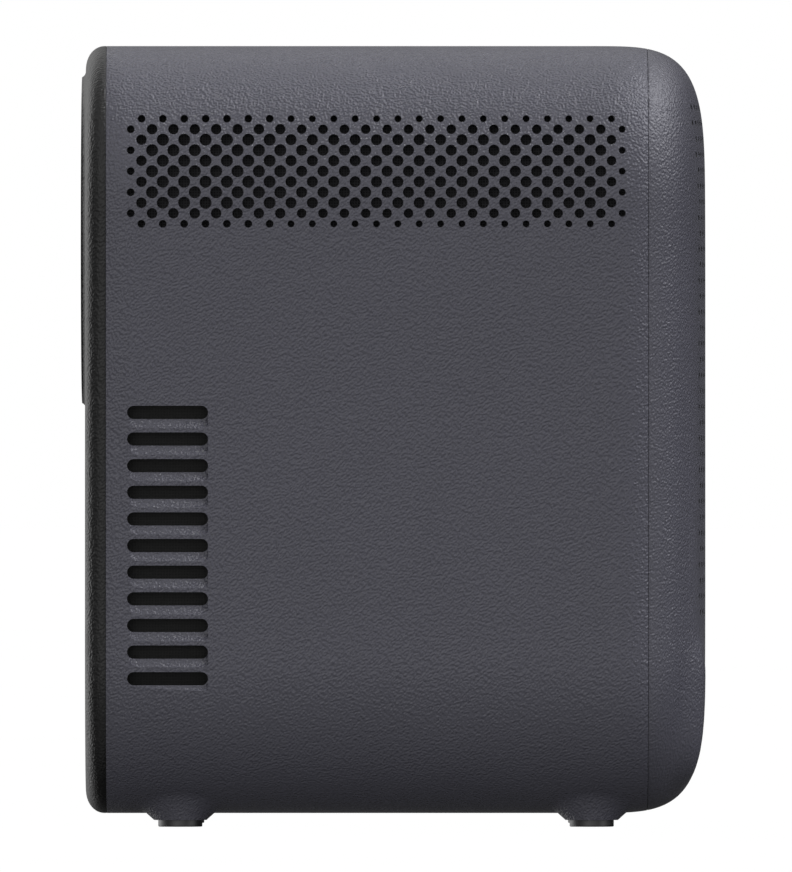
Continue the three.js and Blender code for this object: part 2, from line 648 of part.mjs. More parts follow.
const BLOWER_AT = [-64.9, 4, 96];
const blowerCase = cut(
  join(
    box(-6, 6, -26, 26, -26, 26),
    ...[[22, 22], [-22, 22], [22, -22], [-22, -22]].map(([y, z]) => box(5, 7.6, y - 2, y + 2, z - 2, z + 2)),
  ),
  rodX(22.6, -4.6, 4.6, 0, 0, 20),
  rodX(15, -8, 0, 0, 0, 20), // inlet
  box(-4.6, 8, -9, 9, 4.2, 7.2), // outlets into the engine
  box(-4.6, 8, -9, 9, -7.2, -4.2),
  box(-4.6, 4.6, 0, 23, 12, 22.3),
);
const blowerRotor = (() => {
  const blades = [];
  for (let i = 0; i < 11; i++) {
    const g = new THREE.BoxGeometry(6, 5.2, 1.0);
    g.rotateX((35 * Math.PI) / 180);
    g.translate(0.2, 17.6, 0);
    g.rotateX((i * 2 * Math.PI) / 11);
    blades.push(solid(g));
  }
  return join(rodX(19, 2.4, 3.8, 0, 0, 16), rodX(9, -3.6, 3.6, 0, 0, 16), ...blades);
})();

// =================================================================== audio
const SPEAKER = { x: [36, 63.5], y: [14, 62], z: [150, 184] };
function speakerBox() {
  const { x, y, z } = SPEAKER;
  return cut(
    join(
      box(x[0], x[1], y[0], y[1], z[0], z[1]),
      box(62, 72.2, 16, 22, 145.5, 150.4), box(62, 72.2, 46, 52, 145.5, 150.4), // lugs against the wall
    ),
    box(x[0] + 2, x[1] - 2, y[0] + 2, y[1] - 2, z[0] + 2, z[1] - 2),
    rodX(14.2, x[1] - 3, x[1] + 2, 38, 167, 24),
  );
}
const coneProfile = [[0, -4.2], [5, -4.2], [5, -3.4], [12.6, 1.2], [12.6, 1.9], [4.4, -2.6], [3.2, -1.5], [0, -1.1]];

// Thin black cloth behind the vents. It follows the inside of the wall.
const insideX = (z) => ((HALF_W - WALL) / HALF_W) * sideX(ZC + ((z - ZC) * HALF_H) / (HALF_H - WALL));
function wallStrip(z0, z1, near, far, steps) {
  const outer = [];
  const inner = [];
  for (let i = 0; i <= steps; i++) {
    const z = z0 + ((z1 - z0) * i) / steps;
    outer.push([insideX(z) - near, z]);
    inner.push([insideX(z) - far, z]);
  }
  return [...outer, ...reversed(inner)];
}
const sideCloth = prismY(wallStrip(151, 188, 1.2, 1.8, 6), -71.5, 61);
const rearCloth = (() => {
  const front = [];
  const back = [];
  for (let i = 0; i <= 6; i++) {
    const x = -48 + (96 * i) / 6;
    back.push([x, REAR_Y - backDepth(Math.abs(x)) - 6.4]);
    front.push([x, REAR_Y - backDepth(Math.abs(x)) - 7.1]);
  }
  return prismZ([...back, ...reversed(front)], 52, 186);
})();
const slotCloth = prismY(wallStrip(32, 112, 0.9, 1.5, 6), -71, -45.5);

// ============================================================= electronics
const mainBoard = cut(
  join(
    box(-50, 50, -18, 67.4, BOARD_Z - 1.6, BOARD_Z),
    box(-36, -26, 8, 20, BOARD_Z - 0.4, BOARD_Z + 1.4),
    box(26, 34, 20, 34, BOARD_Z - 0.4, BOARD_Z + 1.6),
    box(-46, -40, 30, 44, BOARD_Z - 0.4, BOARD_Z + 3.2),
  ),
  ...BOARD_POSTS.map(([x, y]) => rodZ(1.6, 10, 20, x, y, 8)),
  rodZ(8, 10, 20, 0, 0, 16),
  box(44.4, 51, 30.4, 37.6, 10, 20), box(-51, -44.4, 30.4, 37.6, 10, 20), // room for two of the engine's posts
  box(43.6, 51, 57, 61.2, 10, 20), box(-51, -43.6, 57, 61.2, 10, 20), // and for the uprights
);
const processorSink = join(
  box(-13, 13, 22, 48, BOARD_Z + GAP, BOARD_Z + 1.4),
  ...[0, 1, 2, 3, 4].map((i) => box(-13 + 6.1 * i, -11.4 + 6.1 * i, 22, 48, BOARD_Z + 1, BOARD_Z + 4.6)),
);
const powerBoard = join(
  box(-50, 50, 61, 62.6, 50, 122),
  rodY(7, 41, 61.5, -36, 100, 12), // bulk capacitor
  box(16, 34, 47, 61.5, 60, 74), // line filter
  rodY(4, 50, 61.5, 42, 108, 8), rodY(4, 50, 61.5, 42, 94, 8),
);
const transformer = join(
  box(-11, 11, 44, 60.8, 82, 108),
  box(-14, 14, 48, 57, 86, 104),
);

// Sockets, each with its real mouth and what stands inside it.
const hdmi = join(
  cut(box(-10.0, 5.0, 57, 69.6, PORT_Z - 2.8, PORT_Z + 2.8), box(-9.5, 4.5, 59, 71, PORT_Z - 2.3, PORT_Z + 2.3)),
  box(-8.2, 3.2, 58, 68.2, PORT_Z - 0.5, PORT_Z + 0.5),
  box(-6, 1, 58, 62, PORT_Z - 4.2, PORT_Z - 2.5),
);
const usb = join(
  cut(box(12.8, 27.2, 55, 69.6, PORT_Z - 3.5, PORT_Z + 3.5), box(13.4, 26.6, 57, 71, PORT_Z - 2.9, PORT_Z + 2.9)),
  box(14.4, 25.6, 56, 67.6, PORT_Z + 0.4, PORT_Z + 2.2),
  box(16, 24, 57, 62, PORT_Z - 4.2, PORT_Z - 3.2),
);
const jack = cut(
  join(rodY(3.9, 62, 69.7, 37, PORT_Z, 16), box(33, 41, 55, 65, PORT_Z - 4.2, PORT_Z + 3.6)),
  rodY(1.8, 57, 71, 37, PORT_Z, 12),
);
const inlet = join(
  cut(
    prismY(rounded(-31, 24.4, 17.8, 10.4, 3.5, 3), 54, 69.8),
    prismY(rounded(-31, 24.4, 15.6, 8.4, 2.6, 3), 57, 71),
  ),
  rodY(1.2, 56, 67, -35.3, 24.4, 10),
  rodY(1.2, 56, 67, -26.7, 24.4, 10),
);

// Return spring of the button: a coil between the board and the button's flange.
const buttonSpring = (() => {
  const [z0, z1] = [190.55, 198.1];
  const turns = 3.5;
  const steps = 36;
  const rings = [];
  for (let i = 0; i <= steps; i++) {
    const a = (i / steps) * turns * 2 * Math.PI;
    const rise = Math.min(1, Math.max(0, (i / steps - 0.1) / 0.8));
    const z = z0 + (z1 - z0) * rise;
    rings.push(
      [0, 1, 2, 3, 4].map((k) => {
        const b = (k / 5) * 2 * Math.PI;
        const r = 4.4 + 0.3 * Math.cos(b);
        return [r * Math.cos(a), r * Math.sin(a), z + 0.3 * Math.sin(b)];
      }),
    );
  }
  return loft(rings);
})();

const buttonBoard = join(
  box(-15, 15, BUTTON_Y - 7, BUTTON_Y + 7, 188.4, 190),
  box(-2.5, 2.5, BUTTON_Y - 2.5, BUTTON_Y + 2.5, 189.6, 193.2),
  rodZ(2, 189, 200, 12.6, BUTTON_Y, 8),
  rodZ(2, 189, 200, -12.6, BUTTON_Y, 8),
);
const powerButton = join(
  prismZ(rounded(0, 0, BUTTON_W, BUTTON_L, BUTTON_L / 2 - 0.01, 4), 199, BODY_TOP + BUTTON_PROUD),
  prismZ(rounded(0, 0, BUTTON_W + 3, BUTTON_L + 3, 3, 2), 198.6, 200),
  rodZ(1.5, 194.6, 199, 0, 0, 10),
);

// ================================================================== assembly
const root = new THREE.Group();
root.name = "projector";

root.add(
  part("main_shell", mainShell, M.caseGrey),
  part("front_panel", frontPanel, M.panelBlack),
  part("rear_cover", rearCover, M.caseGrey),
  part("port_panel", portPanel, M.panelBlack),
  part("base_frame", baseFrame, M.engine),
  part("tripod_insert", tripodInsert, M.brass),
);

// feet
const foot = turnZ([[0, 0], [FOOT_R - 0.5, 0], [FOOT_R, 0.5], [FOOT_R, 3.2], [0, 3.2]], 0, 0, 16);
[["foot_front_left", 1, 0], ["foot_rear_left", 1, 1], ["foot_front_right", -1, 0], ["foot_rear_right", -1, 1]].forEach(
  ([name, side, i]) => root.add(part(name, foot, M.rubber, [side * FOOT_X, FOOT_Y[i], 0])),
);
SCREW_AT.forEach(([x, y], i) => root.add(part(`base_screw_${i + 1}`, screwZ(6), M.steel, [x, y, 3.7])));
[["port_screw_left", 44.5], ["port_screw_right", -44.5]].forEach(([name, x]) =>
  root.add(part(name, screwY(4.5), M.steel, [x, PORT_PANEL_Y + 1.3, 32.5])),
);

// front window group, round the optical axis
root.add(
  group(
    [0, 0, LENS_Z],
    part(
      "lens_trim_ring",
      turnY([[WINDOW_R + 0.2, -81.0], [TRIM_R - 0.3, -81.0], [TRIM_R, -80.7], [TRIM_R, -78.9], [WINDOW_R + 0.2, -78.9], [WINDOW_R + 0.2, -81.0]], 0, 0, 32),
      M.trimBlack,
    ),
    part("lens_window", turnY([[0, -80.6], [28.4, -80.6], [WINDOW_R, -80.2], [WINDOW_R, -79.2], [0, -79.2]], 0, 0, 32), M.glass),
  ),
  part("ir_window", turnY([[0, -79.9], [2.6, -79.9], [2.9, -79.6], [2.9, -77.0], [0, -77.0]], 0, 0, 16), M.trimBlack, [0, 0, IR_Z]),
);

// optics
const mirrorMesh = part("fold_mirror", mirrorPlate, M.mirror);
mirrorMesh.rotation.x = -Math.PI / 4;
mirrorMesh.position.set(0, 4.6, 152.0);
root.add(
  part("engine_housing", engineHousing, M.engine),
  part("engine_side_cover", engineSideCover, M.engine, [ENGINE_X + GAP, 0, 0]),
  mirrorMesh,
  part("heat_glass", fresnelPlate(76), M.clear),
  part("lower_fresnel_lens", fresnelPlate(86), M.clear),
  part("lcd_panel", lcdPanel, M.lcd),
  part("upper_fresnel_lens", fresnelPlate(105.8), M.clear),
  part("condenser_lens", condenserLens, M.clear),
  part("led_module", ledModule, M.copper),
  part("led_heat_sink", heatSink, M.aluminium),
  group(
    [0, 0, LENS_Z],
    part("lens_holder", lensHolder, M.engine),
    part("lens_barrel", lensBarrel, M.engine),
    part("front_lens", frontLens, M.lens),
    part("rear_lens", rearLens, M.lens),
    part("focus_gear_ring", focusRing, M.nylon),
    group(
      [pinionAt[0], 0, pinionAt[1]],
      part("focus_pinion", focusPinion, M.brass),
      part("focus_motor", focusMotor, M.steel),
    ),
  ),
);

// cooling
root.add(
  part("exhaust_fan_frame", fanFrame, M.fan, [0, 0, FAN_Z]),
  part("exhaust_fan_rotor", fanRotor, M.fan, [0, -39.2, FAN_Z]),
  group(BLOWER_AT, part("blower_case", blowerCase, M.fan), part("blower_rotor", blowerRotor, M.fan)),
  part("slot_dust_mesh_left", slotCloth, M.cloth),
  part("slot_dust_mesh_right", slotCloth.mirror([1, 0, 0]), M.cloth),
  part("rear_dust_mesh", rearCloth, M.cloth),
);

// audio
root.add(
  part("speaker_box_left", speakerBox(), M.engine),
  part("speaker_box_right", speakerBox().mirror([1, 0, 0]), M.engine),
  part("speaker_cone_left", turnX(coneProfile, 0, 0, 20), M.paper, [SPEAKER.x[1] - 1.4, 38, 167]),
  part("speaker_cone_right", turnX(coneProfile, 0, 0, 20).mirror([1, 0, 0]), M.paper, [-SPEAKER.x[1] + 1.4, 38, 167]),
  part("speaker_mesh_left", sideCloth, M.cloth),
  part("speaker_mesh_right", sideCloth.mirror([1, 0, 0]), M.cloth),
);

// electronics
root.add(
  part("main_board", mainBoard, M.board),
  part("processor_heat_sink", processorSink, M.aluminium),
  part("power_board", powerBoard, M.board),
  part("power_transformer", transformer, M.copper),
  part("hdmi_socket", hdmi, M.steel),
  part("usb_socket", usb, M.steel),
  part("audio_jack", jack, M.socket),
  part("power_inlet", inlet, M.socket),
  part("button_board", buttonBoard, M.board),
  part("power_button", powerButton, M.caseGrey, [0, BUTTON_Y, 0]),
  part("button_spring", buttonSpring, M.steel, [0, BUTTON_Y, 0]),
);

export default root;
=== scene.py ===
import json
import math

import bmesh
import bpy
from mathutils import Matrix, Vector
from mathutils.bvhtree import BVHTree


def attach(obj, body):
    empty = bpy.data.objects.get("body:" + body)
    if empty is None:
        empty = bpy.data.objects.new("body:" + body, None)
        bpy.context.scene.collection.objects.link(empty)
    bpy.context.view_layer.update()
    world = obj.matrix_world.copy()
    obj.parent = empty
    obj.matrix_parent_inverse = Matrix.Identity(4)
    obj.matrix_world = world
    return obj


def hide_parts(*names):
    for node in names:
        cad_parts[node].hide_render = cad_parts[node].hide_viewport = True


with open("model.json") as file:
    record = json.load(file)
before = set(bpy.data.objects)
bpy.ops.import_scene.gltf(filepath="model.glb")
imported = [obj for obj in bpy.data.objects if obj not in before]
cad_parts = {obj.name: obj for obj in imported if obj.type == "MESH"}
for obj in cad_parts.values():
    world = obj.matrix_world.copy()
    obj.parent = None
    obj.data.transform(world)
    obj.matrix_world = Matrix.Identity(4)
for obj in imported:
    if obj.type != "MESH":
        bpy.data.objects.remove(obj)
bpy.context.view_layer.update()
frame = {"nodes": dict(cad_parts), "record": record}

NODES = frame["nodes"]
MM = 0.001

# --------------------------------------------------------------- the case, mm
WIDTH = 150.0
REAR_Y = 81.2
FRONT_Y = -79.87
RAISED_Y = -81.2
FRONT_SEAM_Y = -74.45
REAR_SEAM_Y = 66.0
BODY_BOTTOM = 3.46
BODY_TOP = 202.7
WALL = 2.4
SEAM = 0.05
HALF_W = WIDTH / 2
HALF_H = (BODY_TOP - BODY_BOTTOM) / 2
ZC = (BODY_TOP + BODY_BOTTOM) / 2
CORNER_X, CORNER_Z, CORNER_N = 36.0, 42.0, 2.2
LENS_Z = 152.5
PEDESTAL_Z = 1.74
FOOT_R = 5.75
FEET = {
    "foot_front_left": (46, -55.3),
    "foot_rear_left": (46, 51.5),
    "foot_front_right": (-46, -55.3),
    "foot_rear_right": (-46, 51.5),
}
SCREWS = [(30, -40), (-30, -40), (30, 40), (-30, 40)]
BUTTON_Y, BUTTON_L, BUTTON_W = 27.7, 7.2, 16.0
BAY_Z = (14.6, 38.0)
BAY_HALF_X = 49.0
BAY_RIB = (-18.5, -14.5)
REAR_SEAM_T = REAR_Y - REAR_SEAM_Y
PORT_PANEL_Y = 70.0
PORT_Z = 20.6
IR_Z = 34.0

# the camera looks along -X; a point of the picture falls on the flat side at this place
CAM_Y, CAM_Z, CAM_SCALE = 0.69, 101.402, 1.0008
PX = 0.26 / CAM_SCALE
SIDE_PX = PX * 0.99557


def side_y(px):
    return CAM_Y + (px - 396) * SIDE_PX


def side_z(py):
    return CAM_Z + (436 - py) * SIDE_PX


# ------------------------------------------------------------------ mesh tools
def new_piece(name, verts, faces, scale=MM):
    me = bpy.data.meshes.new(name)
    me.from_pydata([tuple(c * scale for c in v) for v in verts], [], faces)
    me.validate()
    bm = bmesh.new()
    bm.from_mesh(me)
    bmesh.ops.remove_doubles(bm, verts=bm.verts, dist=1e-7)
    bmesh.ops.recalc_face_normals(bm, faces=bm.faces)
    bm.to_mesh(me)
    bm.free()
    ob = bpy.data.objects.new(name, me)
    bpy.context.scene.collection.objects.link(ob)
    return ob


def gather(*shapes):
    """Several (verts, faces) lists as one."""
    verts, faces = [], []
    for v, f in shapes:
        k = len(verts)
        verts += list(v)
        faces += [tuple(i + k for i in face) for face in f]
    return verts, faces


def move(shape, dx=0.0, dy=0.0, dz=0.0, mirror_x=False):
    v, f = shape
    v = [(x + dx, y + dy, z + dz) for x, y, z in v]
    if mirror_x:
        v = [(-x, y, z) for x, y, z in v]
        f = [tuple(reversed(face)) for face in f]
    return v, f


def turned(shape, deg, axis, centre=(0, 0, 0)):
    m = Matrix.Rotation(math.radians(deg), 4, axis)
    c = Vector(centre)
    return [tuple(m @ (Vector(p) - c) + c) for p in shape[0]], shape[1]


def loft(rings):
    n = len(rings[0])
    verts = [p for r in rings for p in r]
    faces = []
    for r in range(len(rings) - 1):
        for i in range(n):
            j = (i + 1) % n
            faces.append((r * n + i, r * n + j, (r + 1) * n + j, (r + 1) * n + i))
    faces.append(tuple(range(n - 1, -1, -1)))
    faces.append(tuple((len(rings) - 1) * n + i for i in range(n)))
    return verts, faces


AXES = {
    "x": lambda u, v, w: (w, u, v),
    "y": lambda u, v, w: (u, w, v),
    "z": lambda u, v, w: (u, v, w),
}


def prism(outline, axis, a, b):
    """Outline in the plane across the axis: (y, z), (x, z) or (x, y)."""
    put = AXES[axis]
    return loft([[put(u, v, a) for u, v in outline], [put(u, v, b) for u, v in outline]])


def soft_prism(outline_at, axis, a, b, edge=0.4, steps=3):
    """A prism with rounded rims. outline_at(inset) gives the outline that far inside."""
    put = AXES[axis]
    rings = []
    for i in range(steps + 1):
        t = i / steps * math.pi / 2
        inset = edge * (1 - math.sin(t))
        rings.append([put(u, v, a + edge * (1 - math.cos(t))) for u, v in outline_at(inset)])
    for i in range(steps, -1, -1):
        t = i / steps * math.pi / 2
        inset = edge * (1 - math.sin(t))
        rings.append([put(u, v, b - edge * (1 - math.cos(t))) for u, v in outline_at(inset)])
    return loft(rings)


def rounded(cx, cy, w, h, r, n=8):
    out = []
    r = min(r, w / 2 - 1e-4, h / 2 - 1e-4)
    for x, y, start in (
        (cx + w / 2 - r, cy + h / 2 - r, 0),
        (cx - w / 2 + r, cy + h / 2 - r, 90),
        (cx - w / 2 + r, cy - h / 2 + r, 180),
        (cx + w / 2 - r, cy - h / 2 + r, 270),
    ):
        for i in range(n + 1):
            a = math.radians(start + 90 * i / n)
            out.append((x + r * math.cos(a), y + r * math.sin(a)))
    return out


def circle(cx, cy, r, n=20, start=0.0):
    return [
        (cx + r * math.cos(start + 2 * math.pi * i / n), cy + r * math.sin(start + 2 * math.pi * i / n))
        for i in range(n)
    ]


def lathe(profile, axis, cx=0.0, cy=0.0, n=96):
    """profile is [(radius, place along the axis)], from the axis to the axis or closed on itself."""
    put = AXES[axis]
    verts, faces, rows = [], [], []
    for r, t in profile:
        if r < 1e-6:
            verts.append(put(cx, cy, t))
            rows.append([len(verts) - 1] * n)
        else:
            k = len(verts)
            for i in range(n):
                a = 2 * math.pi * i / n
                verts.append(put(cx + r * math.cos(a), cy + r * math.sin(a), t))
            rows.append(list(range(k, k + n)))
    for a, b in zip(rows, rows[1:]):
        for i in range(n):
            j = (i + 1) % n
            face = [a[i], a[j], b[j], b[i]]
            clean = [p for k, p in enumerate(face) if p != face[k - 1]]
            if len(clean) > 2:
                faces.append(tuple(clean))
    return verts, faces


def rounded_profile(points, radii, n=4):
    """Rounds the corners of an open profile. radii has one value for each point."""
    out = []
    for i, p in enumerate(points):
        r = radii[i]
        if r <= 0 or i in (0, len(points) - 1):
            out.append(p)
            continue
        p, a, b = Vector(p), Vector(points[i - 1]), Vector(points[i + 1])
        u, v = (a - p).normalized(), (b - p).normalized()
        r = min(r, (a - p).length * 0.49, (b - p).length * 0.49)
        s, e = p + u * r, p + v * r
        for k in range(n + 1):
            t = k / n
            q = (1 - t) ** 2 * s + 2 * t * (1 - t) * p + t * t * e
            out.append((q.x, q.y))
    return out


def evaluated(ob):
    dg = bpy.context.evaluated_depsgraph_get()
    me = bpy.data.meshes.new_from_object(ob.evaluated_get(dg))
    ob.modifiers.clear()
    old = ob.data
    ob.data = me
    me.name = ob.name
    if old.users == 0:
        bpy.data.meshes.remove(old)


def boolean(ob, shape, operation="DIFFERENCE"):
    tool = new_piece("tool", *shape)
    before = len(ob.data.polygons)
    for solver in ("MANIFOLD", "EXACT"):
        m = ob.modifiers.new("cut", "BOOLEAN")
        m.operation = operation
        m.object = tool
        try:
            m.solver = solver
        except TypeError:
            m.solver = "EXACT"
        dg = bpy.context.evaluated_depsgraph_get()
        me = bpy.data.meshes.new_from_object(ob.evaluated_get(dg))
        ob.modifiers.clear()
        if len(me.polygons) > 0 and len(me.polygons) != before:
            old = ob.data
            ob.data = me
            me.name = ob.name
            bpy.data.meshes.remove(old)
            break
        bpy.data.meshes.remove(me)
    data = tool.data
    bpy.data.objects.remove(tool)
    bpy.data.meshes.remove(data)


def bevel(ob, width, segments=2, angle=35):
    m = ob.modifiers.new("edge", "BEVEL")
    m.width = width * MM
    m.segments = segments
    m.limit_method = "ANGLE"
    m.angle_limit = math.radians(angle)
    m.harden_normals = False
    evaluated(ob)


def smooth(ob, angle=32):
    me = ob.data
    me.polygons.foreach_set("use_smooth", [True] * len(me.polygons))
    me.set_sharp_from_angle(angle=math.radians(angle))
    me.update()


def take_normals(ob, reference, tolerance=0.012, angle=32):
    """Outer faces of a cut shell keep the smooth normals of the shell before it was cut."""
    smooth(ob, angle)
    me = ob.data
    ref = reference.data
    tree = BVHTree.FromPolygons(
        [v.co.copy() for v in ref.vertices], [tuple(p.vertices) for p in ref.polygons]
    )
    vn = [v.normal.copy() for v in ref.vertices]
    normals = [Vector(n.vector) for n in me.corner_normals]
    cache = {}
    for p in me.polygons:
        place, n, index, dist = tree.find_nearest(p.center)
        if index is None or dist > tolerance * MM or n.dot(p.normal) < 0.93:
            continue
        for li in p.loop_indices:
            vi = me.loops[li].vertex_index
            if vi not in cache:
                at, fn, fi, d = tree.find_nearest(me.vertices[vi].co)
                face = ref.polygons[fi]
                total, acc = 0.0, Vector((0, 0, 0))
                for k in face.vertices:
                    w = 1.0 / ((ref.vertices[k].co - at).length + 1e-7) ** 2
                    acc += vn[k] * w
                    total += w
                cache[vi] = (acc / total).normalized() if len(face.vertices) < 6 else fn.copy()
            if cache[vi].dot(p.normal) > 0.8:
                normals[li] = cache[vi]
    me.normals_split_custom_set([tuple(n) for n in normals])
    me.update()


# ----------------------------------------------------------------- outer form
def unit_section(n=26):
    out = []
    x0, z0 = HALF_W - CORNER_X, HALF_H - CORNER_Z
    e = 2 / CORNER_N
    for sx, sz, up in ((1, 1, True), (-1, 1, False), (-1, -1, True), (1, -1, False)):
        for i in range(n + 1):
            a = (i if up else n - i) / n * math.pi / 2
            x = x0 + CORNER_X * max(0.0, math.cos(a)) ** e
            z = z0 + CORNER_Z * max(0.0, math.sin(a)) ** e
            out.append((sx * x / HALF_W, sz * z / HALF_H))
    return out


SECTION = unit_section()


def super_inset(s, a, b, n):
    return 0.0 if s >= a else b * (1 - (1 - ((a - s) / a) ** n) ** (1 / n))


REAR_CURVE, REAR_DROP = 30.41, 53.07


def back_depth(x):
    return 0.0 if x <= 20 else 27 * (1 - (1 - min(1, ((x - 20) / 55) ** 2.7)) ** (1 / 2.7))


def rear_half_width(t):
    if t >= back_depth(HALF_W):
        return HALF_W
    lo, hi = 0.0, HALF_W
    for _ in range(60):
        mid = (lo + hi) / 2
        if back_depth(mid) < t:
            lo = mid
        else:
            hi = mid
    return lo


def rear_half_height(t):
    """Half height at the depth t in from the rearmost point: the profile seen from the side."""
    u = max(0.0, (REAR_CURVE - t) / REAR_CURVE)
    return HALF_H - REAR_DROP * (1 - (1 - u ** 3.984) ** (1 / 4.854))


def ring(y, w, h):
    return [(x * w, y, ZC + z * h) for x, z in SECTION]


def rear_ring(t, off=0.0, extra=0.0):
    return ring(REAR_Y - off - t, rear_half_width(t) - off - extra, rear_half_height(t) - off - extra)


def front_ring(s, off=0.0):
    i = super_inset(s, 4.85, 6.05, 2.05)
    return ring(FRONT_Y + off + s, HALF_W - i - off, HALF_H - i - off)


def ride(ob, body, *nodes):
    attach(ob, body)
    if nodes:
        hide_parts(*nodes)
    return ob


# ================================================================= materials
def new_material(name):
    m = bpy.data.materials.new(name)
    m.use_nodes = True
    nt = m.node_tree
    nt.nodes.clear()
    out = nt.nodes.new("ShaderNodeOutputMaterial")
    bsdf = nt.nodes.new("ShaderNodeBsdfPrincipled")
    nt.links.new(bsdf.outputs["BSDF"], out.inputs["Surface"])
    coord = nt.nodes.new("ShaderNodeTexCoord")
    return m, nt, bsdf, coord


def noise(nt, coord, scale, detail=3.0, roughness=0.5, distortion=0.0):
    n = nt.nodes.new("ShaderNodeTexNoise")
    n.inputs["Scale"].default_value = scale
    n.inputs["Detail"].default_value = detail
    n.inputs["Roughness"].default_value = roughness
    n.inputs["Distortion"].default_value = distortion
    nt.links.new(coord.outputs["Object"], n.inputs["Vector"])
    return n


def ramp(nt, source, stops):
    r = nt.nodes.new("ShaderNodeValToRGB")
    while len(r.color_ramp.elements) < len(stops):
        r.color_ramp.elements.new(0.5)
    for e, (p, c) in zip(r.color_ramp.elements, stops):
        e.position = p
        e.color = (*c, 1) if len(c) == 3 else c
    nt.links.new(source, r.inputs["Fac"])
    return r


def plain(name, color, rough=0.5, metal=0.0, spec=0.5, vary=0.12, grain=700.0, bump=0.08, rough_vary=0.06, depth=0.0002, **more):
    """Moulded or machined finish: small tone changes, uneven gloss and a fine bump."""
    m, nt, bsdf, coord = new_material(name)
    n1 = noise(nt, coord, 60, 4)
    lo = tuple(c * (1 - vary) for c in color)
    hi = tuple(min(1, c * (1 + vary)) for c in color)
    r = ramp(nt, n1.outputs["Fac"], [(0.3, lo), (0.7, hi)])
    nt.links.new(r.outputs["Color"], bsdf.inputs["Base Color"])
    n2 = noise(nt, coord, 220, 3)
    rr = ramp(nt, n2.outputs["Fac"], [(0.3, (max(0, rough - rough_vary),) * 3), (0.7, (min(1, rough + rough_vary),) * 3)])
    nt.links.new(rr.outputs["Color"], bsdf.inputs["Roughness"])
    n3 = noise(nt, coord, grain, 2)
    b = nt.nodes.new("ShaderNodeBump")
    b.inputs["Strength"].default_value = bump
    b.inputs["Distance"].default_value = depth
    nt.links.new(n3.outputs["Fac"], b.inputs["Height"])
    nt.links.new(b.outputs["Normal"], bsdf.inputs["Normal"])
    bsdf.inputs["Metallic"].default_value = metal
    bsdf.inputs["Specular IOR Level"].default_value = spec
    for key, value in more.items():
        bsdf.inputs[key.replace("_", " ")].default_value = value
    return m


def math_node(nt, operation, a, b=None, c=None):
    m = nt.nodes.new("ShaderNodeMath")
    m.operation = operation
    for i, v in enumerate((a, b, c)):
        if v is None:
            continue
        if isinstance(v, (int, float)):
            m.inputs[i].default_value = v
        else:
            nt.links.new(v, m.inputs[i])
    return m.outputs[0]


def leather_grain(name, color, rough, depth=0.00037, spec=0.4, pebbles=1850.0):
    """Moulded leather grain: soft pebbles about a millimetre across, drawn out a little along one slant."""
    m, nt, bsdf, coord = new_material(name)
    turn = nt.nodes.new("ShaderNodeVectorRotate")
    turn.rotation_type = "X_AXIS"
    turn.inputs["Angle"].default_value = math.radians(-50)
    nt.links.new(coord.outputs["Object"], turn.inputs["Vector"])
    slant = nt.nodes.new("ShaderNodeMapping")
    slant.inputs["Scale"].default_value = (1.0, 0.72, 1.0)
    nt.links.new(turn.outputs[0], slant.inputs["Vector"])
    grain = nt.nodes.new("ShaderNodeTexNoise")
    grain.inputs["Scale"].default_value = pebbles
    grain.inputs["Detail"].default_value = 0.4
    grain.inputs["Roughness"].default_value = 0.35
    nt.links.new(slant.outputs[0], grain.inputs["Vector"])
    b = nt.nodes.new("ShaderNodeBump")
    b.inputs["Strength"].default_value = 1.0
    b.inputs["Distance"].default_value = depth
    nt.links.new(grain.outputs["Fac"], b.inputs["Height"])
    nt.links.new(b.outputs["Normal"], bsdf.inputs["Normal"])
    tone = noise(nt, coord, 35, 3)
    lo = tuple(c * 0.98 for c in color)
    hi = tuple(c * 1.02 for c in color)
    r = ramp(nt, tone.outputs["Fac"], [(0.35, lo), (0.65, hi)])
    nt.links.new(r.outputs["Color"], bsdf.inputs["Base Color"])
    gloss = noise(nt, coord, 260, 3)
    rr = ramp(nt, gloss.outputs["Fac"], [(0.3, (rough - 0.02,) * 3), (0.7, (rough + 0.02,) * 3)])
    nt.links.new(rr.outputs["Color"], bsdf.inputs["Roughness"])
    bsdf.inputs["Specular IOR Level"].default_value = spec
    return m


def glassy(name, color, rough=0.02, ior=1.5, alpha=1.0, transmission=1.0, coat=0.0):
    m, nt, bsdf, coord = new_material(name)
    n = noise(nt, coord, 90, 2)
    r = ramp(nt, n.outputs["Fac"], [(0.3, tuple(c * 0.97 for c in color)), (0.7, color)])
    nt.links.new(r.outputs["Color"], bsdf.inputs["Base Color"])
    n2 = noise(nt, coord, 300, 2)
    rr = ramp(nt, n2.outputs["Fac"], [(0.3, (rough,) * 3), (0.7, (rough * 1.6,) * 3)])
    nt.links.new(rr.outputs["Color"], bsdf.inputs["Roughness"])
    bsdf.inputs["IOR"].default_value = ior
    bsdf.inputs["Transmission Weight"].default_value = transmission
    bsdf.inputs["Coat Weight"].default_value = coat
    bsdf.inputs["Coat Roughness"].default_value = 0.02
    bsdf.inputs["Alpha"].default_value = alpha
    return m


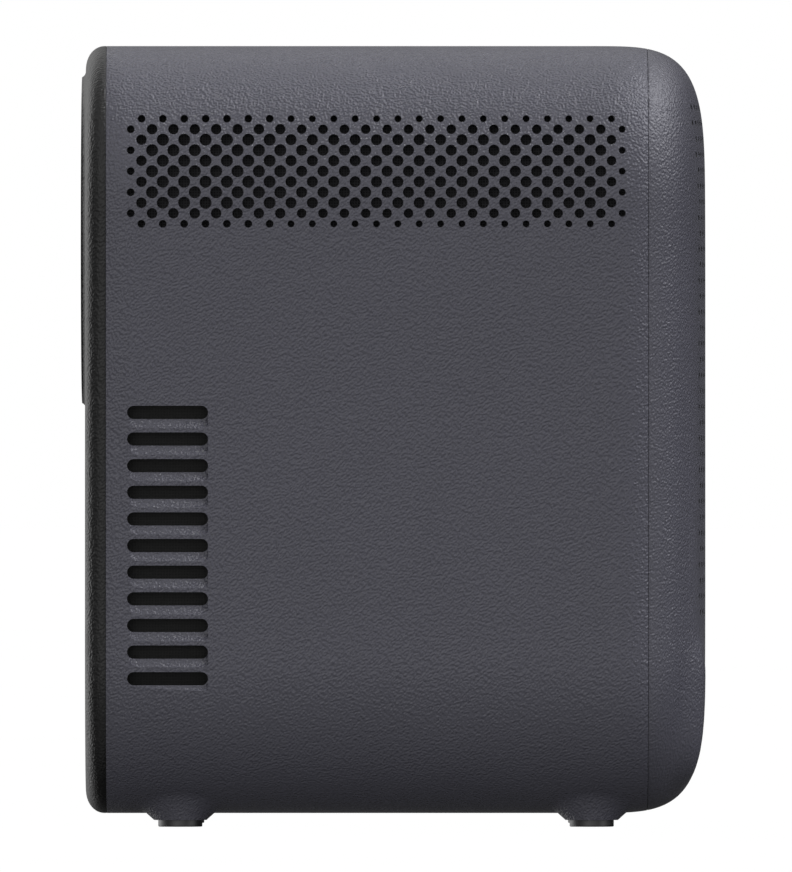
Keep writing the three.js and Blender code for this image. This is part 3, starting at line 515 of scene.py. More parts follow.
def woven(name, color, thread=0.00035, spec=0.2):
    """Fine woven cloth: two crossing sets of threads."""
    m, nt, bsdf, coord = new_material(name)
    waves = []
    for direction in ("Y", "Z"):
        w = nt.nodes.new("ShaderNodeTexWave")
        w.wave_type = "BANDS"
        w.bands_direction = direction
        w.inputs["Scale"].default_value = 1 / thread / 6.283
        w.inputs["Distortion"].default_value = 0.4
        nt.links.new(coord.outputs["Object"], w.inputs["Vector"])
        waves.append(w)
    mx = nt.nodes.new("ShaderNodeMath")
    mx.operation = "MAXIMUM"
    nt.links.new(waves[0].outputs["Fac"], mx.inputs[0])
    nt.links.new(waves[1].outputs["Fac"], mx.inputs[1])
    r = ramp(nt, mx.outputs[0], [(0.2, tuple(c * 0.4 for c in color)), (0.9, color)])
    nt.links.new(r.outputs["Color"], bsdf.inputs["Base Color"])
    b = nt.nodes.new("ShaderNodeBump")
    b.inputs["Strength"].default_value = 0.4
    b.inputs["Distance"].default_value = 0.0001
    nt.links.new(mx.outputs[0], b.inputs["Height"])
    nt.links.new(b.outputs["Normal"], bsdf.inputs["Normal"])
    bsdf.inputs["Roughness"].default_value = 0.95
    bsdf.inputs["Specular IOR Level"].default_value = spec
    return m


CASE_COLOR = (0.0745, 0.074, 0.093)
# The rear cover is the same plastic as the sleeve. Its colour is the case colour made a little darker and less blue:
# painted shade against the blue rear lamps.
SHADED_COVER_COLOR = (0.0725, 0.072, 0.0885)
MAT = {
    "case_grey": leather_grain("case_grey", CASE_COLOR, 0.22),
    "cover_grey": leather_grain("cover_grey", SHADED_COVER_COLOR, 0.22, depth=0.00026),
    "case_inside": plain("case_inside", (0.012, 0.012, 0.013), 0.7, grain=900),
    "panel_black": leather_grain("panel_black", (0.004, 0.004, 0.0042), 0.34, 0.00022),
    "trim_black": plain("trim_black", (0.004, 0.004, 0.0045), 0.12, grain=400, bump=0.02, Coat_Weight=0.6, Coat_Roughness=0.05),
    "window_glass": glassy("window_glass", (0.62, 0.66, 0.72), 0.01, 1.5),
    "lens_glass": glassy("lens_glass", (0.75, 0.82, 0.95), 0.005, 1.62, coat=0.5),
    "clear_plastic": glassy("clear_plastic", (0.92, 0.95, 0.96), 0.04, 1.49),
    "lcd_glass": plain("lcd_glass", (0.02, 0.028, 0.035), 0.08, grain=300, bump=0.01),
    "mirror_silver": plain("mirror_silver", (0.86, 0.88, 0.89), 0.04, 1.0, grain=200, bump=0.004, vary=0.02, rough_vary=0.015),
    "rubber_black": plain("rubber_black", (0.004, 0.004, 0.0042), 0.34, grain=1500, bump=0.08, spec=1.0),
    "steel": plain("steel", (0.52, 0.53, 0.54), 0.3, 1.0, grain=1200, bump=0.08),
    "brass": plain("brass", (0.56, 0.41, 0.17), 0.28, 1.0, grain=1200, bump=0.06),
    "aluminium": plain("aluminium", (0.62, 0.63, 0.65), 0.38, 1.0, grain=1500, bump=0.1),
    "copper": plain("copper", (0.6, 0.27, 0.14), 0.35, 1.0, grain=900, bump=0.06),
    "engine_black": plain("engine_black", (0.010, 0.010, 0.011), 0.6, grain=1300, bump=0.2),
    "nylon_white": plain("nylon_white", (0.62, 0.6, 0.54), 0.45, grain=900, bump=0.06, Subsurface_Weight=0.1),
    "fan_black": plain("fan_black", (0.008, 0.008, 0.009), 0.45, grain=1000, bump=0.1),
    "cloth_black": woven("cloth_black", (0.007, 0.007, 0.0085)),
    "cloth_speaker": woven("cloth_speaker", (0.07, 0.07, 0.075)),
    "cloth_slot": woven("cloth_slot", (0.03, 0.03, 0.03), 0.0002),
    "cone_paper": plain("cone_paper", (0.025, 0.024, 0.022), 0.85, grain=2400, bump=0.4),
    "board_green": plain("board_green", (0.012, 0.07, 0.03), 0.3, grain=500, bump=0.08, vary=0.3),
    "socket_black": plain("socket_black", (0.008, 0.008, 0.0085), 0.42, grain=1100, bump=0.08),
}


def dress(ob, *slots):
    ob.data.materials.clear()
    for s in slots:
        ob.data.materials.append(MAT[s])
    return ob


def paint(ob, chosen, index):
    """Gives the faces for which chosen(face) is true another of the piece's materials."""
    for p in ob.data.polygons:
        if chosen(p):
            p.material_index = index


# ================================================================ main shell
HOLES = []
for row in range(11):
    odd = row % 2 == 1
    count = 24 if odd else 23
    for i in range(count):
        px = (130.5 if odd else 141.25) + 21.385 * i
        y, z = side_y(px), side_z(118.35 + 10.53 * row)
        wide = px < 285
        last = i in (0, count - 1)
        if row in (0, 10) or (odd and last):
            r = 1.01 if wide else 0.90
        elif row in (1, 9) or last:
            r = 1.365 if wide else 1.245
        else:
            r = 1.57 if wide else 1.445
        HOLES.append((y, z, r))

hole_tools = gather(
    *[prism(circle(y, z, r, 26), "x", 58, 80) for y, z, r in HOLES],
    *[prism(circle(y, z, r, 26), "x", -80, -58) for y, z, r in HOLES],
)

SLOT_TOPS = [side_z(405.7 + 26.65 * i) for i in range(11)]
SLOT_Y0, SLOT_Y1 = side_y(126.9), side_y(207.9)
SLOT_H = 13.3 * SIDE_PX


def slot_shape(top):
    return prism(rounded((SLOT_Y0 + SLOT_Y1) / 2, top - SLOT_H / 2, SLOT_Y1 - SLOT_Y0, SLOT_H, SLOT_H / 2, 10), "x", 62, 80)


def scoop_shape(top):
    """Hollow finger-nail scoop under the slot: round at the front, a straight wall at the back, deepest there."""
    low = top - SLOT_H
    y0, y1 = SLOT_Y0 + 0.62, SLOT_Y1
    rings = []
    steps = 30
    for i in range(steps + 1):
        t = i / steps
        y = y0 + (y1 - y0) * (0.5 - 0.5 * math.cos(math.pi * t))
        u = min(1.0, (y - y0) / 2.0)
        v = min(1.0, (y1 - y) / 1.7)
        bowl = math.sqrt(max(0.0004, 1 - (1 - u) ** 2))
        reach = 2.4 * bowl - 1.15 * (1 - math.sqrt(1 - (1 - v) ** 2))
        deep = (SCOOP_LEFT + (SCOOP_RIGHT - SCOOP_LEFT) * ((y - y0) / (y1 - y0)) ** 1.5) * bowl
        ring_ = [(HALF_W - deep, y, low + SLOT_H / 2)]
        for k in range(8):
            q = k / 7
            ring_.append((HALF_W + 0.015 - (deep + 0.015) * (1 - q ** 1.5), y, low - reach * q))
        ring_.append((HALF_W + 3, y, low - reach - 0.1))
        ring_.append((HALF_W + 3, y, low + SLOT_H / 2))
        rings.append(ring_)
    return loft(rings)


SCOOP_LEFT, SCOOP_RIGHT = 0.65, 1.5

outer_rings = [
    ring(FRONT_SEAM_Y + SEAM / 2, HALF_W - 0.1, HALF_H - 0.1),
    ring(FRONT_SEAM_Y + SEAM / 2 + 0.03, HALF_W - 0.03, HALF_H - 0.03),
    ring(FRONT_SEAM_Y + SEAM / 2 + 0.1, HALF_W, HALF_H),
]
for k in range(1, 23):
    outer_rings.append(ring(FRONT_SEAM_Y + 0.5 + k * 5.5, HALF_W, HALF_H))
for t in (30, 28.2, 26.5, 25, 23.5, 22, 20.8, 19.6, 18.5, 17.5, 16.6, 16.0, 15.6):
    outer_rings.append(rear_ring(t))
outer_rings.append(rear_ring(REAR_SEAM_T + SEAM / 2 + 0.12))
outer_rings.append(rear_ring(REAR_SEAM_T + SEAM / 2 + 0.04, 0, 0.04))
outer_rings.append(rear_ring(REAR_SEAM_T + SEAM / 2, 0, 0.12))
shell = new_piece("main_shell_skin", *loft(outer_rings))
shell_ref = shell.copy()
shell_ref.data = shell.data.copy()

def pedestal_shape(tree, cx, cy):
    """Foot pedestal: crisp round base, whose outer flank runs in a soft fillet into the curved underside."""
    count = 96
    steps = [0.08, 0.2, 0.35, 0.55, 0.8, 1.1, 1.45, 1.85, 2.3, 2.8, 3.35, 4.0, 4.8, 5.7, 6.6]
    rings = []
    for i in range(-4, len(steps) + 1):
        ring_ = []
        for k in range(count):
            a = 2 * math.pi * k / count
            side = max(0.0, math.cos(a) * (1 if cx > 0 else -1))
            r0 = 6.95 + 1.35 * side ** 2
            slope = 1.12 - 0.72 * side ** 1.5
            soft = 0.45 + 3.7 * side ** 1.2
            if i < 0:
                r, cone = r0 * (0.5, 0.85, 1 - 0.16 / r0, 1 - 0.03 / r0)[i + 4], PEDESTAL_Z + (0, 0, 0, 0.03)[i + 4]
            else:
                d = 0.0 if i == 0 else steps[i - 1]
                r, cone = r0 + d, PEDESTAL_Z + 0.12 + d / slope
            x, y = cx + r * math.cos(a), cy + r * math.sin(a)
            skin = tree.ray_cast(Vector((x, y, -60)) * MM, Vector((0, 0, 1)))[0].z / MM
            gap = max(0.0, soft - abs(cone - skin)) / soft
            z = min(cone, skin) - gap * gap * soft / 4 - 0.004
            ring_.append((x, y, z if i < len(steps) else skin + 0.1))
        rings.append(ring_)
    rings.append([(cx + (p[0] - cx) * 0.98, cy + (p[1] - cy) * 0.98, max(q[2] for q in rings[-1]) + 0.6) for p in rings[-1]])
    return loft(rings)


shell_tree = BVHTree.FromPolygons([v.co.copy() for v in shell_ref.data.vertices], [tuple(p.vertices) for p in shell_ref.data.polygons])
for x, y in FEET.values():
    boolean(shell, pedestal_shape(shell_tree, x, y), "UNION")

inner = [ring(FRONT_SEAM_Y - 2, HALF_W - WALL, HALF_H - WALL), ring(REAR_Y - 27.05, HALF_W - WALL, HALF_H - WALL)]
for t in (24, 20, 17.3, REAR_SEAM_T + SEAM / 2):
    inner.append(ring(REAR_Y - t, rear_half_width(t) - WALL, rear_half_height(t) - WALL))
inner.append(ring(REAR_SEAM_Y + 2, rear_half_width(REAR_SEAM_T) - WALL - 0.2, rear_half_height(REAR_SEAM_T) - WALL - 0.2))
boolean(shell, loft(inner))
boolean(shell, hole_tools)
boolean(shell, gather(*[s for t in SLOT_TOPS for s in (slot_shape(t), move(slot_shape(t), mirror_x=True))]))
boolean(shell, gather(*[s for t in SLOT_TOPS for s in (scoop_shape(t), move(scoop_shape(t), mirror_x=True))]))
boolean(shell, gather(
    *[lathe([(0, 1), (FOOT_R + 0.25, 1), (FOOT_R + 0.25, 3.5), (0, 3.5)], "z", x, y, 64) for x, y in FEET.values()],
    *[lathe([(0, 2), (3.6, 2), (3.6, 3.6), (3.4, 4.9), (1.9, 4.9), (1.9, 8), (0, 8)], "z", x, y, 40) for x, y in SCREWS],
    lathe([(0, 2), (8.25, 2), (8.25, 8), (0, 8)], "z", 0, 0, 64),
    prism(rounded(0, BUTTON_Y, BUTTON_W + 0.5, BUTTON_L + 0.5, (BUTTON_L + 0.5) / 2, 14), "z", 196, 206),
))
take_normals(shell, shell_ref)
dress(shell, "case_grey", "case_inside")


def inside_face(p):
    c, n = p.center / MM, p.normal
    out = Vector((c.x / HALF_W, 0, (c.z - ZC) / HALF_H))
    deep = max(abs(c.x) / HALF_W, abs(c.z - ZC) / HALF_H)
    return out.dot(n) < -0.35 and deep < 0.985


paint(shell, inside_face, 1)
ride(shell, "case", "main_shell")
bpy.data.objects.remove(shell_ref)

# =============================================================== front panel
front_rings = [front_ring(s) for s in (0.004, 0.03, 0.1, 0.2, 0.35, 0.55, 0.8, 1.1, 1.5, 1.95, 2.5, 3.1, 3.8, 4.5, 5.0)]
front_rings += [
    ring(FRONT_SEAM_Y - SEAM / 2 - 0.08, HALF_W, HALF_H),
    ring(FRONT_SEAM_Y - SEAM / 2 - 0.02, HALF_W - 0.03, HALF_H - 0.03),
    ring(FRONT_SEAM_Y - SEAM / 2, HALF_W - 0.1, HALF_H - 0.1),
]
panel = new_piece("front_panel_skin", *loft(front_rings))
panel_ref = panel.copy()
panel_ref.data = panel.data.copy()
flare = [(0, RAISED_Y)]
flare += [(42.2, RAISED_Y), (42.5, RAISED_Y + 0.02)]
for i in range(1, 11):
    t = i / 10 * math.pi / 2
    flare.append((45.5 - 2.9 * math.cos(t) ** 1.0 + 0.0, RAISED_Y + 0.03 + 1.19 * math.sin(t) ** 1.0))
flare += [(45.6, FRONT_Y + 1.2), (0, FRONT_Y + 1.2)]
boolean(panel, lathe(flare, "y", 0, LENS_Z, 160), "UNION")
boolean(panel, loft([
    ring(FRONT_Y + WALL, HALF_W - WALL - 2.2, HALF_H - WALL - 2.2),
    ring(FRONT_SEAM_Y + 2, HALF_W - WALL, HALF_H - WALL),
]))
boolean(panel, lathe([(0, -78), (32, -78), (32, -74.4), (0, -74.4)], "y", 0, LENS_Z, 96), "UNION")
mouth = rounded_profile(
    [(0, -82.5), (34.3, -82.5), (33.25, -80.9), (33.25, -78.6), (30.2, -78.6), (29.2, -74), (0, -74)],
    [0, 0, 0.35, 0, 0, 0, 0],
)
boolean(panel, lathe(mouth, "y", 0, LENS_Z, 160))
boolean(panel, lathe([(0, -82), (3.3, -82), (3.2, -79.7), (3.2, -76), (0, -76)], "y", 0, IR_Z, 48))
take_normals(panel, panel_ref, 0.01)
bpy.data.objects.remove(panel_ref)
dress(panel, "panel_black", "engine_black")
paint(panel, lambda p: p.center.y / MM > FRONT_Y + 1.9 and p.normal.y > 0.3, 1)
ride(panel, "case", "front_panel")

# ================================================================ rear cover
depths = [0.012, 0.03, 0.06, 0.1, 0.17, 0.26, 0.38, 0.53, 0.72, 0.95, 1.2, 1.5, 1.85, 2.25, 2.7, 3.2, 3.8, 4.5, 5.3, 6.2, 7.2, 8.3, 9.5, 10.8, 12.1, 13.3, 14.4]
cover_rings = [rear_ring(t) for t in depths]
cover_rings += [
    rear_ring(REAR_SEAM_T - SEAM / 2 - 0.12),
    rear_ring(REAR_SEAM_T - SEAM / 2 - 0.04, 0, 0.04),
    rear_ring(REAR_SEAM_T - SEAM / 2, 0, 0.12),
]
cover = new_piece("rear_cover_skin", *loft(list(reversed(cover_rings))))


def ease(v, a, b):
    u = min(1.0, max(0.0, (v - a) / (b - a)))
    return u * u * (3 - 2 * u)


def profile_depth(z):
    """How far in from the rearmost point the middle of the back lies at a height."""
    q = 1 - max(0.0, HALF_H - abs(z - ZC)) / REAR_DROP
    return 0.0 if q <= 0 else REAR_CURVE * (1 - (1 - q ** 4.854) ** (1 / 3.984))


# The back is fuller around the port bay, so that the bay's rim stands level from side to side.
for v in cover.data.vertices:
    x, y, z = abs(v.co.x) / MM, v.co.y / MM, v.co.z / MM
    full = (1 - ease(x, 50.2, 62)) * ease(z, 6, 14) * (1 - ease(z, 39.5, 56)) * (1 - ease(REAR_Y - y, 5, 10))
    level = REAR_Y - profile_depth(z) - 0.15
    if full > 0 and level > y:
        v.co.y = (y + full * (level - y)) * MM
cover.data.update()
cover_ref = cover.copy()
cover_ref.data = cover.data.copy()
boolean(cover, loft(
    [ring(REAR_SEAM_Y - 2, rear_half_width(REAR_SEAM_T) - WALL, rear_half_height(REAR_SEAM_T) - WALL)]
    + [rear_ring(t, WALL) for t in (12.2, 9, 5, 2.3, 0.6, 0.05)]
))
bay_wall = new_piece("bay_wall", *prism(
    rounded(0, sum(BAY_Z) / 2, BAY_HALF_X * 2 + 3.2, BAY_Z[1] - BAY_Z[0] + 3.2, 6.6, 10), "y", PORT_PANEL_Y + 0.2, 84.0))
boolean(bay_wall, ([tuple(v.co / MM) for v in cover_ref.data.vertices], [tuple(p.vertices) for p in cover_ref.data.polygons]), "INTERSECT")
boolean(cover, ([tuple(v.co / MM) for v in bay_wall.data.vertices], [tuple(p.vertices) for p in bay_wall.data.polygons]), "UNION")
bpy.data.objects.remove(bay_wall)
for a, b in ((-BAY_HALF_X, BAY_RIB[0]), (BAY_RIB[1], BAY_HALF_X)):
    boolean(cover, prism(rounded((a + b) / 2, sum(BAY_Z) / 2, b - a, BAY_Z[1] - BAY_Z[0], 5, 12), "y", 60, 90))
rear_holes = []
for row in range(33):
    z = 186.75 - 4.095 * row
    count = 25 if row % 2 else 24
    for i in range(count):
        rear_holes.append(prism(circle((i - (count - 1) / 2) * 4.07, z, 0.77, 14), "y", 60, 90))
boolean(cover, gather(*rear_holes))
take_normals(cover, cover_ref)
bpy.data.objects.remove(cover_ref)
dress(cover, "case_grey", "case_inside")
# The rear cover takes the darker, less blue copy of the case finish: painted shade.
cover.data.materials[0] = MAT["cover_grey"]
paint(cover, lambda p: p.normal.y < -0.35 and p.center.y / MM < 78.5, 1)
# The walls of the rear perforations take the dark inside finish, though they are the same plastic: painted shade, so
# that the holes read dark.
paint(cover, lambda p: abs(p.normal.y) < 0.25 and abs(p.center.x) / MM < 50 and 50 < p.center.z / MM < 189 and p.center.y / MM > 70, 1)
ride(cover, "case", "rear_cover")

# =============================================================== lens window
trim = new_piece("lens_trim", *lathe(
    rounded_profile(
        [(29.25, -79.0), (29.25, -80.35), (30.1, -81.0), (32.6, -81.0), (32.95, -80.6), (32.95, -79.0), (29.25, -79.0)],
        [0, 0.25, 0.3, 0.25, 0.15, 0, 0]),
    "y", 0, LENS_Z, 160))
smooth(trim, 40)
dress(trim, "trim_black")
ride(trim, "case", "lens_trim_ring")

window = new_piece("lens_window_glass", *lathe(
    [(0, -80.55), (12, -80.54), (22, -80.5), (27.4, -80.44), (28.5, -80.3), (28.95, -79.95), (28.95, -79.25), (0, -79.25)],
    "y", 0, LENS_Z, 128))
smooth(window, 40)
dress(window, "window_glass")
ride(window, "case", "lens_window")

ir = new_piece("ir_lens", *lathe(
    [(0, -80.35 + 0.45), (1.2, -79.88), (2.2, -79.8), (2.75, -79.6), (2.88, -79.3), (2.88, -77.1), (0, -77.1)], "y", 0, IR_Z, 48))
smooth(ir, 40)
dress(ir, "trim_black")
ride(ir, "case", "ir_window")


# ================================================================ projection lens
def ribbed(r0, r1, y0, y1, pitch, depth):
    """Baffle ridges inside a tube, as a profile from front to back."""
    out = []
    y, n = y0, max(2, int((y1 - y0) / pitch))
    for i in range(n):
        t = i / n
        r = r0 + (r1 - r0) * t
        ya, yb = y0 + (y1 - y0) * t, y0 + (y1 - y0) * (i + 0.5) / n
        out += [(r, ya), (r - depth, yb)]
    out.append((r1, y1))
    return out


barrel_profile = (
    [(25.2, -68.0), (25.7, -67.5), (25.7, -36.2), (25.5, -36.0), (22.4, -36.0), (22.4, -42.6), (20.6, -42.9), (20.6, -56.3), (22.3, -56.8), (22.3, -62.3)]
    + list(reversed(ribbed(23.9, 22.9, -67.6, -62.6, 0.9, 0.45)))
    + [(24.3, -68.0), (25.2, -68.0)]
)
barrel = new_piece("lens_barrel_tube", *lathe(barrel_profile, "y", 0, LENS_Z, 96))
smooth(barrel, 30)
dress(barrel, "engine_black")
ride(barrel, "lens_barrel", "lens_barrel")


def cap(r, sag, y_edge, n=10):
    """Spherical cap profile from the rim to the axis."""
    big = (r * r + sag * sag) / (2 * abs(sag))
    pts = []
    for i in range(n + 1):
        x = r * (1 - i / n)
        s = (math.sqrt(big * big - x * x) - (big - abs(sag))) * (1 if sag > 0 else -1)
        pts.append((x, y_edge + s))
    return pts


front_lens = new_piece("front_lens_glass", *lathe(
    list(reversed(cap(22.0, -2.2, -59.9, 14))) + [(22.0, -57.3), (0, -57.3)], "y", 0, LENS_Z, 96))
smooth(front_lens, 40)
dress(front_lens, "lens_glass")
ride(front_lens, "lens_barrel", "front_lens")

# ===================================================================== feet
for name, (x, y) in FEET.items():
    profile = rounded_profile(
        [(0, 0.0), (FOOT_R - 0.02, 0.0), (FOOT_R, 3.2), (0, 3.2)], [0, 0.35, 0.2, 0], 5)
    foot = new_piece(name + "_rubber", *lathe(profile, "z", x, y, 72))
    smooth(foot, 40)
    dress(foot, "rubber_black")
    ride(foot, "case", name)

# ============================================================ stand insert
thread = [(0, 12.5)]
z = 12.4
while z > 4.2:
    thread += [(3.18, z), (2.6, z - 0.32)]
    z -= 0.64
thread += [(3.18, 4.0), (3.6, BODY_BOTTOM)]
insert_profile = thread + [(7.7, BODY_BOTTOM), (7.95, BODY_BOTTOM + 0.2), (7.95, 5.35), (6.25, 5.4), (6.25, 14.3), (0, 14.35)]
insert = new_piece("stand_insert", *lathe(insert_profile, "z", 0, 0, 48))
smooth(insert, 30)
dress(insert, "brass")
ride(insert, "case", "tripod_insert")


def cross_head(name, axis, place, toward, node):
    """A pan head screw with a cross recess. toward is +1 or -1: the way the head faces."""
    head = rounded_profile([(0, 0.0), (2.3, -0.1), (2.85, -0.55), (2.85, -1.1), (1.3, -1.1), (1.3, -5.4), (0, -6.2)], [0, 0.5, 0.4, 0.05, 0, 0.2, 0])
    ob = new_piece(name, *lathe(head, "z", 0, 0, 40))
    arm = [(-1.5, -0.3), (1.5, -0.3), (1.5, 0.3), (-1.5, 0.3)]
    boolean(ob, prism(arm, "z", -0.85, 1))
    boolean(ob, prism([(v, u) for u, v in arm][::-1], "z", -0.85, 1))
    m = Matrix.Identity(4)
    if axis == "z" and toward < 0:
        m = Matrix.Rotation(math.pi, 4, "X")
    if axis == "y":
        m = Matrix.Rotation(-math.pi / 2 * toward, 4, "X")
    m = Matrix.Translation(Vector(place) * MM) @ m
    ob.data.transform(m)
    smooth(ob, 35)
    dress(ob, "steel")
    ride(ob, "case", node)


for i, (x, y) in enumerate(SCREWS):
    cross_head(f"base_screw_head_{i + 1}", "z", (x, y, 3.75), -1, f"base_screw_{i + 1}")
cross_head("port_screw_head_left", "y", (44.5, PORT_PANEL_Y + 1.3, 32.5), 1, "port_screw_left")
cross_head("port_screw_head_right", "y", (-44.5, PORT_PANEL_Y + 1.3, 32.5), 1, "port_screw_right")


# ============================================================== power button
def pill(inset):
    w, h = BUTTON_W - 2 * inset, BUTTON_L - 2 * inset
    return rounded(0, BUTTON_Y, w, h, h / 2, 12)


TOP = BODY_TOP + 0.1
rings = [[(u, v, 199.0) for u, v in pill(0)], [(u, v, TOP - 0.35) for u, v in pill(0)]]
for i in range(1, 6):
    t = i / 5 * math.pi / 2
    rings.append([(u, v, TOP - 0.35 + 0.33 * math.sin(t)) for u, v in pill(0.35 * (1 - math.cos(t)))])
rings.append([(u, v, TOP - 0.04) for u, v in pill(1.4)])
rings.append([(u, v, TOP - 0.1) for u, v in pill(2.4)])
rings.append([(u, v, TOP - 0.13) for u, v in pill(3.3)])
button = new_piece("power_button_cap", *gather(
    loft(rings),
    prism(rounded(0, BUTTON_Y, BUTTON_W + 3, BUTTON_L + 3, 3, 6), "z", 198.6, 199.0),
    lathe([(0, 194.6), (1.3, 194.6), (1.5, 194.8), (1.5, 198.6), (0, 198.6)], "z", 0, BUTTON_Y, 24)))
smooth(button, 40)
dress(button, "case_grey")
ride(button, "power_button", "power_button")

# ============================================================== port recess
port = new_piece("port_panel_plate", *prism(
    rounded(0, sum(BAY_Z) / 2, BAY_HALF_X * 2 + 3, BAY_Z[1] - BAY_Z[0] + 3, 6.5, 10), "y", PORT_PANEL_Y - 2, PORT_PANEL_Y))
boolean(port, gather(
    prism(rounded(-31, 24.4, 18.4, 11.0, 3.6, 8), "y", 66, 72),
    prism(rounded(-2.5, PORT_Z, 16.6, 6.6, 1.0, 5), "y", 66, 72),
    prism(rounded(20, PORT_Z, 15.6, 8.0, 0.8, 5), "y", 66, 72),
    lathe([(0, 66), (4.2, 66), (4.2, 72), (0, 72)], "y", 37, PORT_Z, 48),
    lathe([(0, 66), (1.6, 66), (1.6, 72), (0, 72)], "y", -44.5, 32.5, 32),
    lathe([(0, 66), (1.6, 66), (1.6, 72), (0, 72)], "y", 44.5, 32.5, 32)))
bevel(port, 0.15, 2)
smooth(port, 35)
dress(port, "panel_black")
ride(port, "case", "port_panel")


def socket(name, node, shapes, colours, width=0.12):
    """Joins shells and tongues into one piece; each shape has its own finish."""
    obs = []
    order = list(dict.fromkeys(colours))
    for k, (shape, cuts, slot) in enumerate(shapes):
        o = new_piece(f"{name}_{k}", *shape)
        for c in cuts:
            boolean(o, c)
        bevel(o, width, 2)
        for s in order:
            o.data.materials.append(MAT[s])
        for p in o.data.polygons:
            p.material_index = order.index(slot)
        obs.append(o)
    bm = bmesh.new()
    for o in obs:
        bm.from_mesh(o.data)
    me = bpy.data.meshes.new(name)
    bm.to_mesh(me)
    bm.free()
    for s in order:
        me.materials.append(MAT[s])
    out = bpy.data.objects.new(name, me)
    bpy.context.scene.collection.objects.link(out)
    for o in obs:
        bpy.data.objects.remove(o)
    smooth(out, 35)
    ride(out, "case", node)


hdmi_outline = lambda o: [
    (-9.5 - o + 0.0, PORT_Z + 2.3 + o), (-9.5 - o, PORT_Z - 0.5), (-8.1 - o * 0.5, PORT_Z - 2.3 - o),
    (3.1 + o * 0.5, PORT_Z - 2.3 - o), (4.5 + o, PORT_Z - 0.5), (4.5 + o, PORT_Z + 2.3 + o)]
socket("hdmi_socket_shell", "hdmi_socket", [
    (prism(hdmi_outline(0.5), "y", 57, 69.6), [prism(hdmi_outline(0), "y", 59, 71)], "steel"),
    (prism([(-8.0, PORT_Z - 0.2), (3.0, PORT_Z - 0.2), (3.0, PORT_Z + 0.7), (-8.0, PORT_Z + 0.7)], "y", 58.5, 68.2), [], "socket_black"),
], ["steel", "socket_black"])
socket("usb_socket_shell", "usb_socket", [
    (prism(rounded(20, PORT_Z, 14.4, 7.0, 0.5, 3), "y", 55, 69.6), [prism(rounded(20, PORT_Z, 13.2, 5.8, 0.3, 3), "y", 57, 71)], "steel"),
    (prism([(14.4, PORT_Z + 0.4), (25.6, PORT_Z + 0.4), (25.6, PORT_Z + 2.2), (14.4, PORT_Z + 2.2)], "y", 56.5, 67.6), [], "socket_black"),
] + [
    (prism([(16.2 + 2.3 * i, PORT_Z + 0.25), (17.4 + 2.3 * i, PORT_Z + 0.25), (17.4 + 2.3 * i, PORT_Z + 0.45), (16.2 + 2.3 * i, PORT_Z + 0.45)], "y", 60, 67.2), [], "brass")
    for i in range(4)
], ["steel", "socket_black", "brass"], 0.06)
socket("audio_jack_body", "audio_jack", [
    (lathe([(0, 62), (3.9, 62), (3.9, 69.7), (0, 69.7)], "y", 37, PORT_Z, 48), [lathe([(0, 57), (1.85, 57), (1.85, 69), (2.4, 71), (0, 71)], "y", 37, PORT_Z, 32)], "socket_black"),
    (prism([(33, PORT_Z - 4.0), (41, PORT_Z - 4.0), (41, PORT_Z + 3.6), (33, PORT_Z + 3.6)], "y", 55, 62.2), [], "socket_black"),
    (lathe([(1.9, 68.2), (2.9, 68.6), (2.9, 69.72), (2.4, 69.72), (1.9, 68.2)], "y", 37, PORT_Z, 40), [], "steel"),
], ["socket_black", "steel"], 0.1)
socket("power_inlet_body", "power_inlet", [
    (prism(rounded(-31, 24.4, 17.8, 10.4, 3.5, 8), "y", 54, 69.8), [prism(rounded(-31, 24.4, 15.6, 8.4, 2.6, 8), "y", 57, 71)], "socket_black"),
    (lathe([(0, 56), (1.15, 56), (1.15, 66.4), (0.7, 67.0), (0, 67.0)], "y", -35.3, 24.4, 24), [], "steel"),
    (lathe([(0, 56), (1.15, 56), (1.15, 66.4), (0.7, 67.0), (0, 67.0)], "y", -26.7, 24.4, 24), [], "steel"),
], ["socket_black", "steel"], 0.15)

# ====================================================== carried-over CAD pieces
SLOT_OF = {s["node"]: s["material_slot"] for s in frame["record"]["subparts"]}
for name, ob in NODES.items():
    if ob.hide_render:
        continue
    slot = SLOT_OF.get(name)
    if slot in MAT:
        if not ob.material_slots:
            ob.data.materials.append(MAT[slot])
        finish = {"speaker_mesh": "cloth_speaker", "slot_dust_mesh": "cloth_slot"}.get(name.rsplit("_", 1)[0], slot)
        for s in ob.material_slots:
            s.material = MAT[finish]

# ====================================================================== stage
scene = bpy.context.scene
floor_mat, nt, bsdf, coord = new_material("studio_floor")
n = noise(nt, coord, 3, 2)
r = ramp(nt, n.outputs["Fac"], [(0.3, (0.0, 0.0, 0.0)), (0.7, (0.004, 0.004, 0.004))])
nt.links.new(r.outputs["Color"], bsdf.inputs["Base Color"])
bsdf.inputs["Roughness"].default_value = 1.0
bsdf.inputs["Specular IOR Level"].default_value = 0.0
bsdf.inputs["Emission Color"].default_value = (1, 1, 1, 1)
bsdf.inputs["Emission Strength"].default_value = 1.0
floor = new_piece("studio_floor", *loft([
    [(30000 * math.cos(a * math.pi / 32), 30000 * math.sin(a * math.pi / 32), z) for a in range(64)] for z in (-20, -0.05)]))
floor.data.materials.append(floor_mat)
floor.visible_diffuse = False
floor.visible_glossy = False
floor.visible_transmission = False

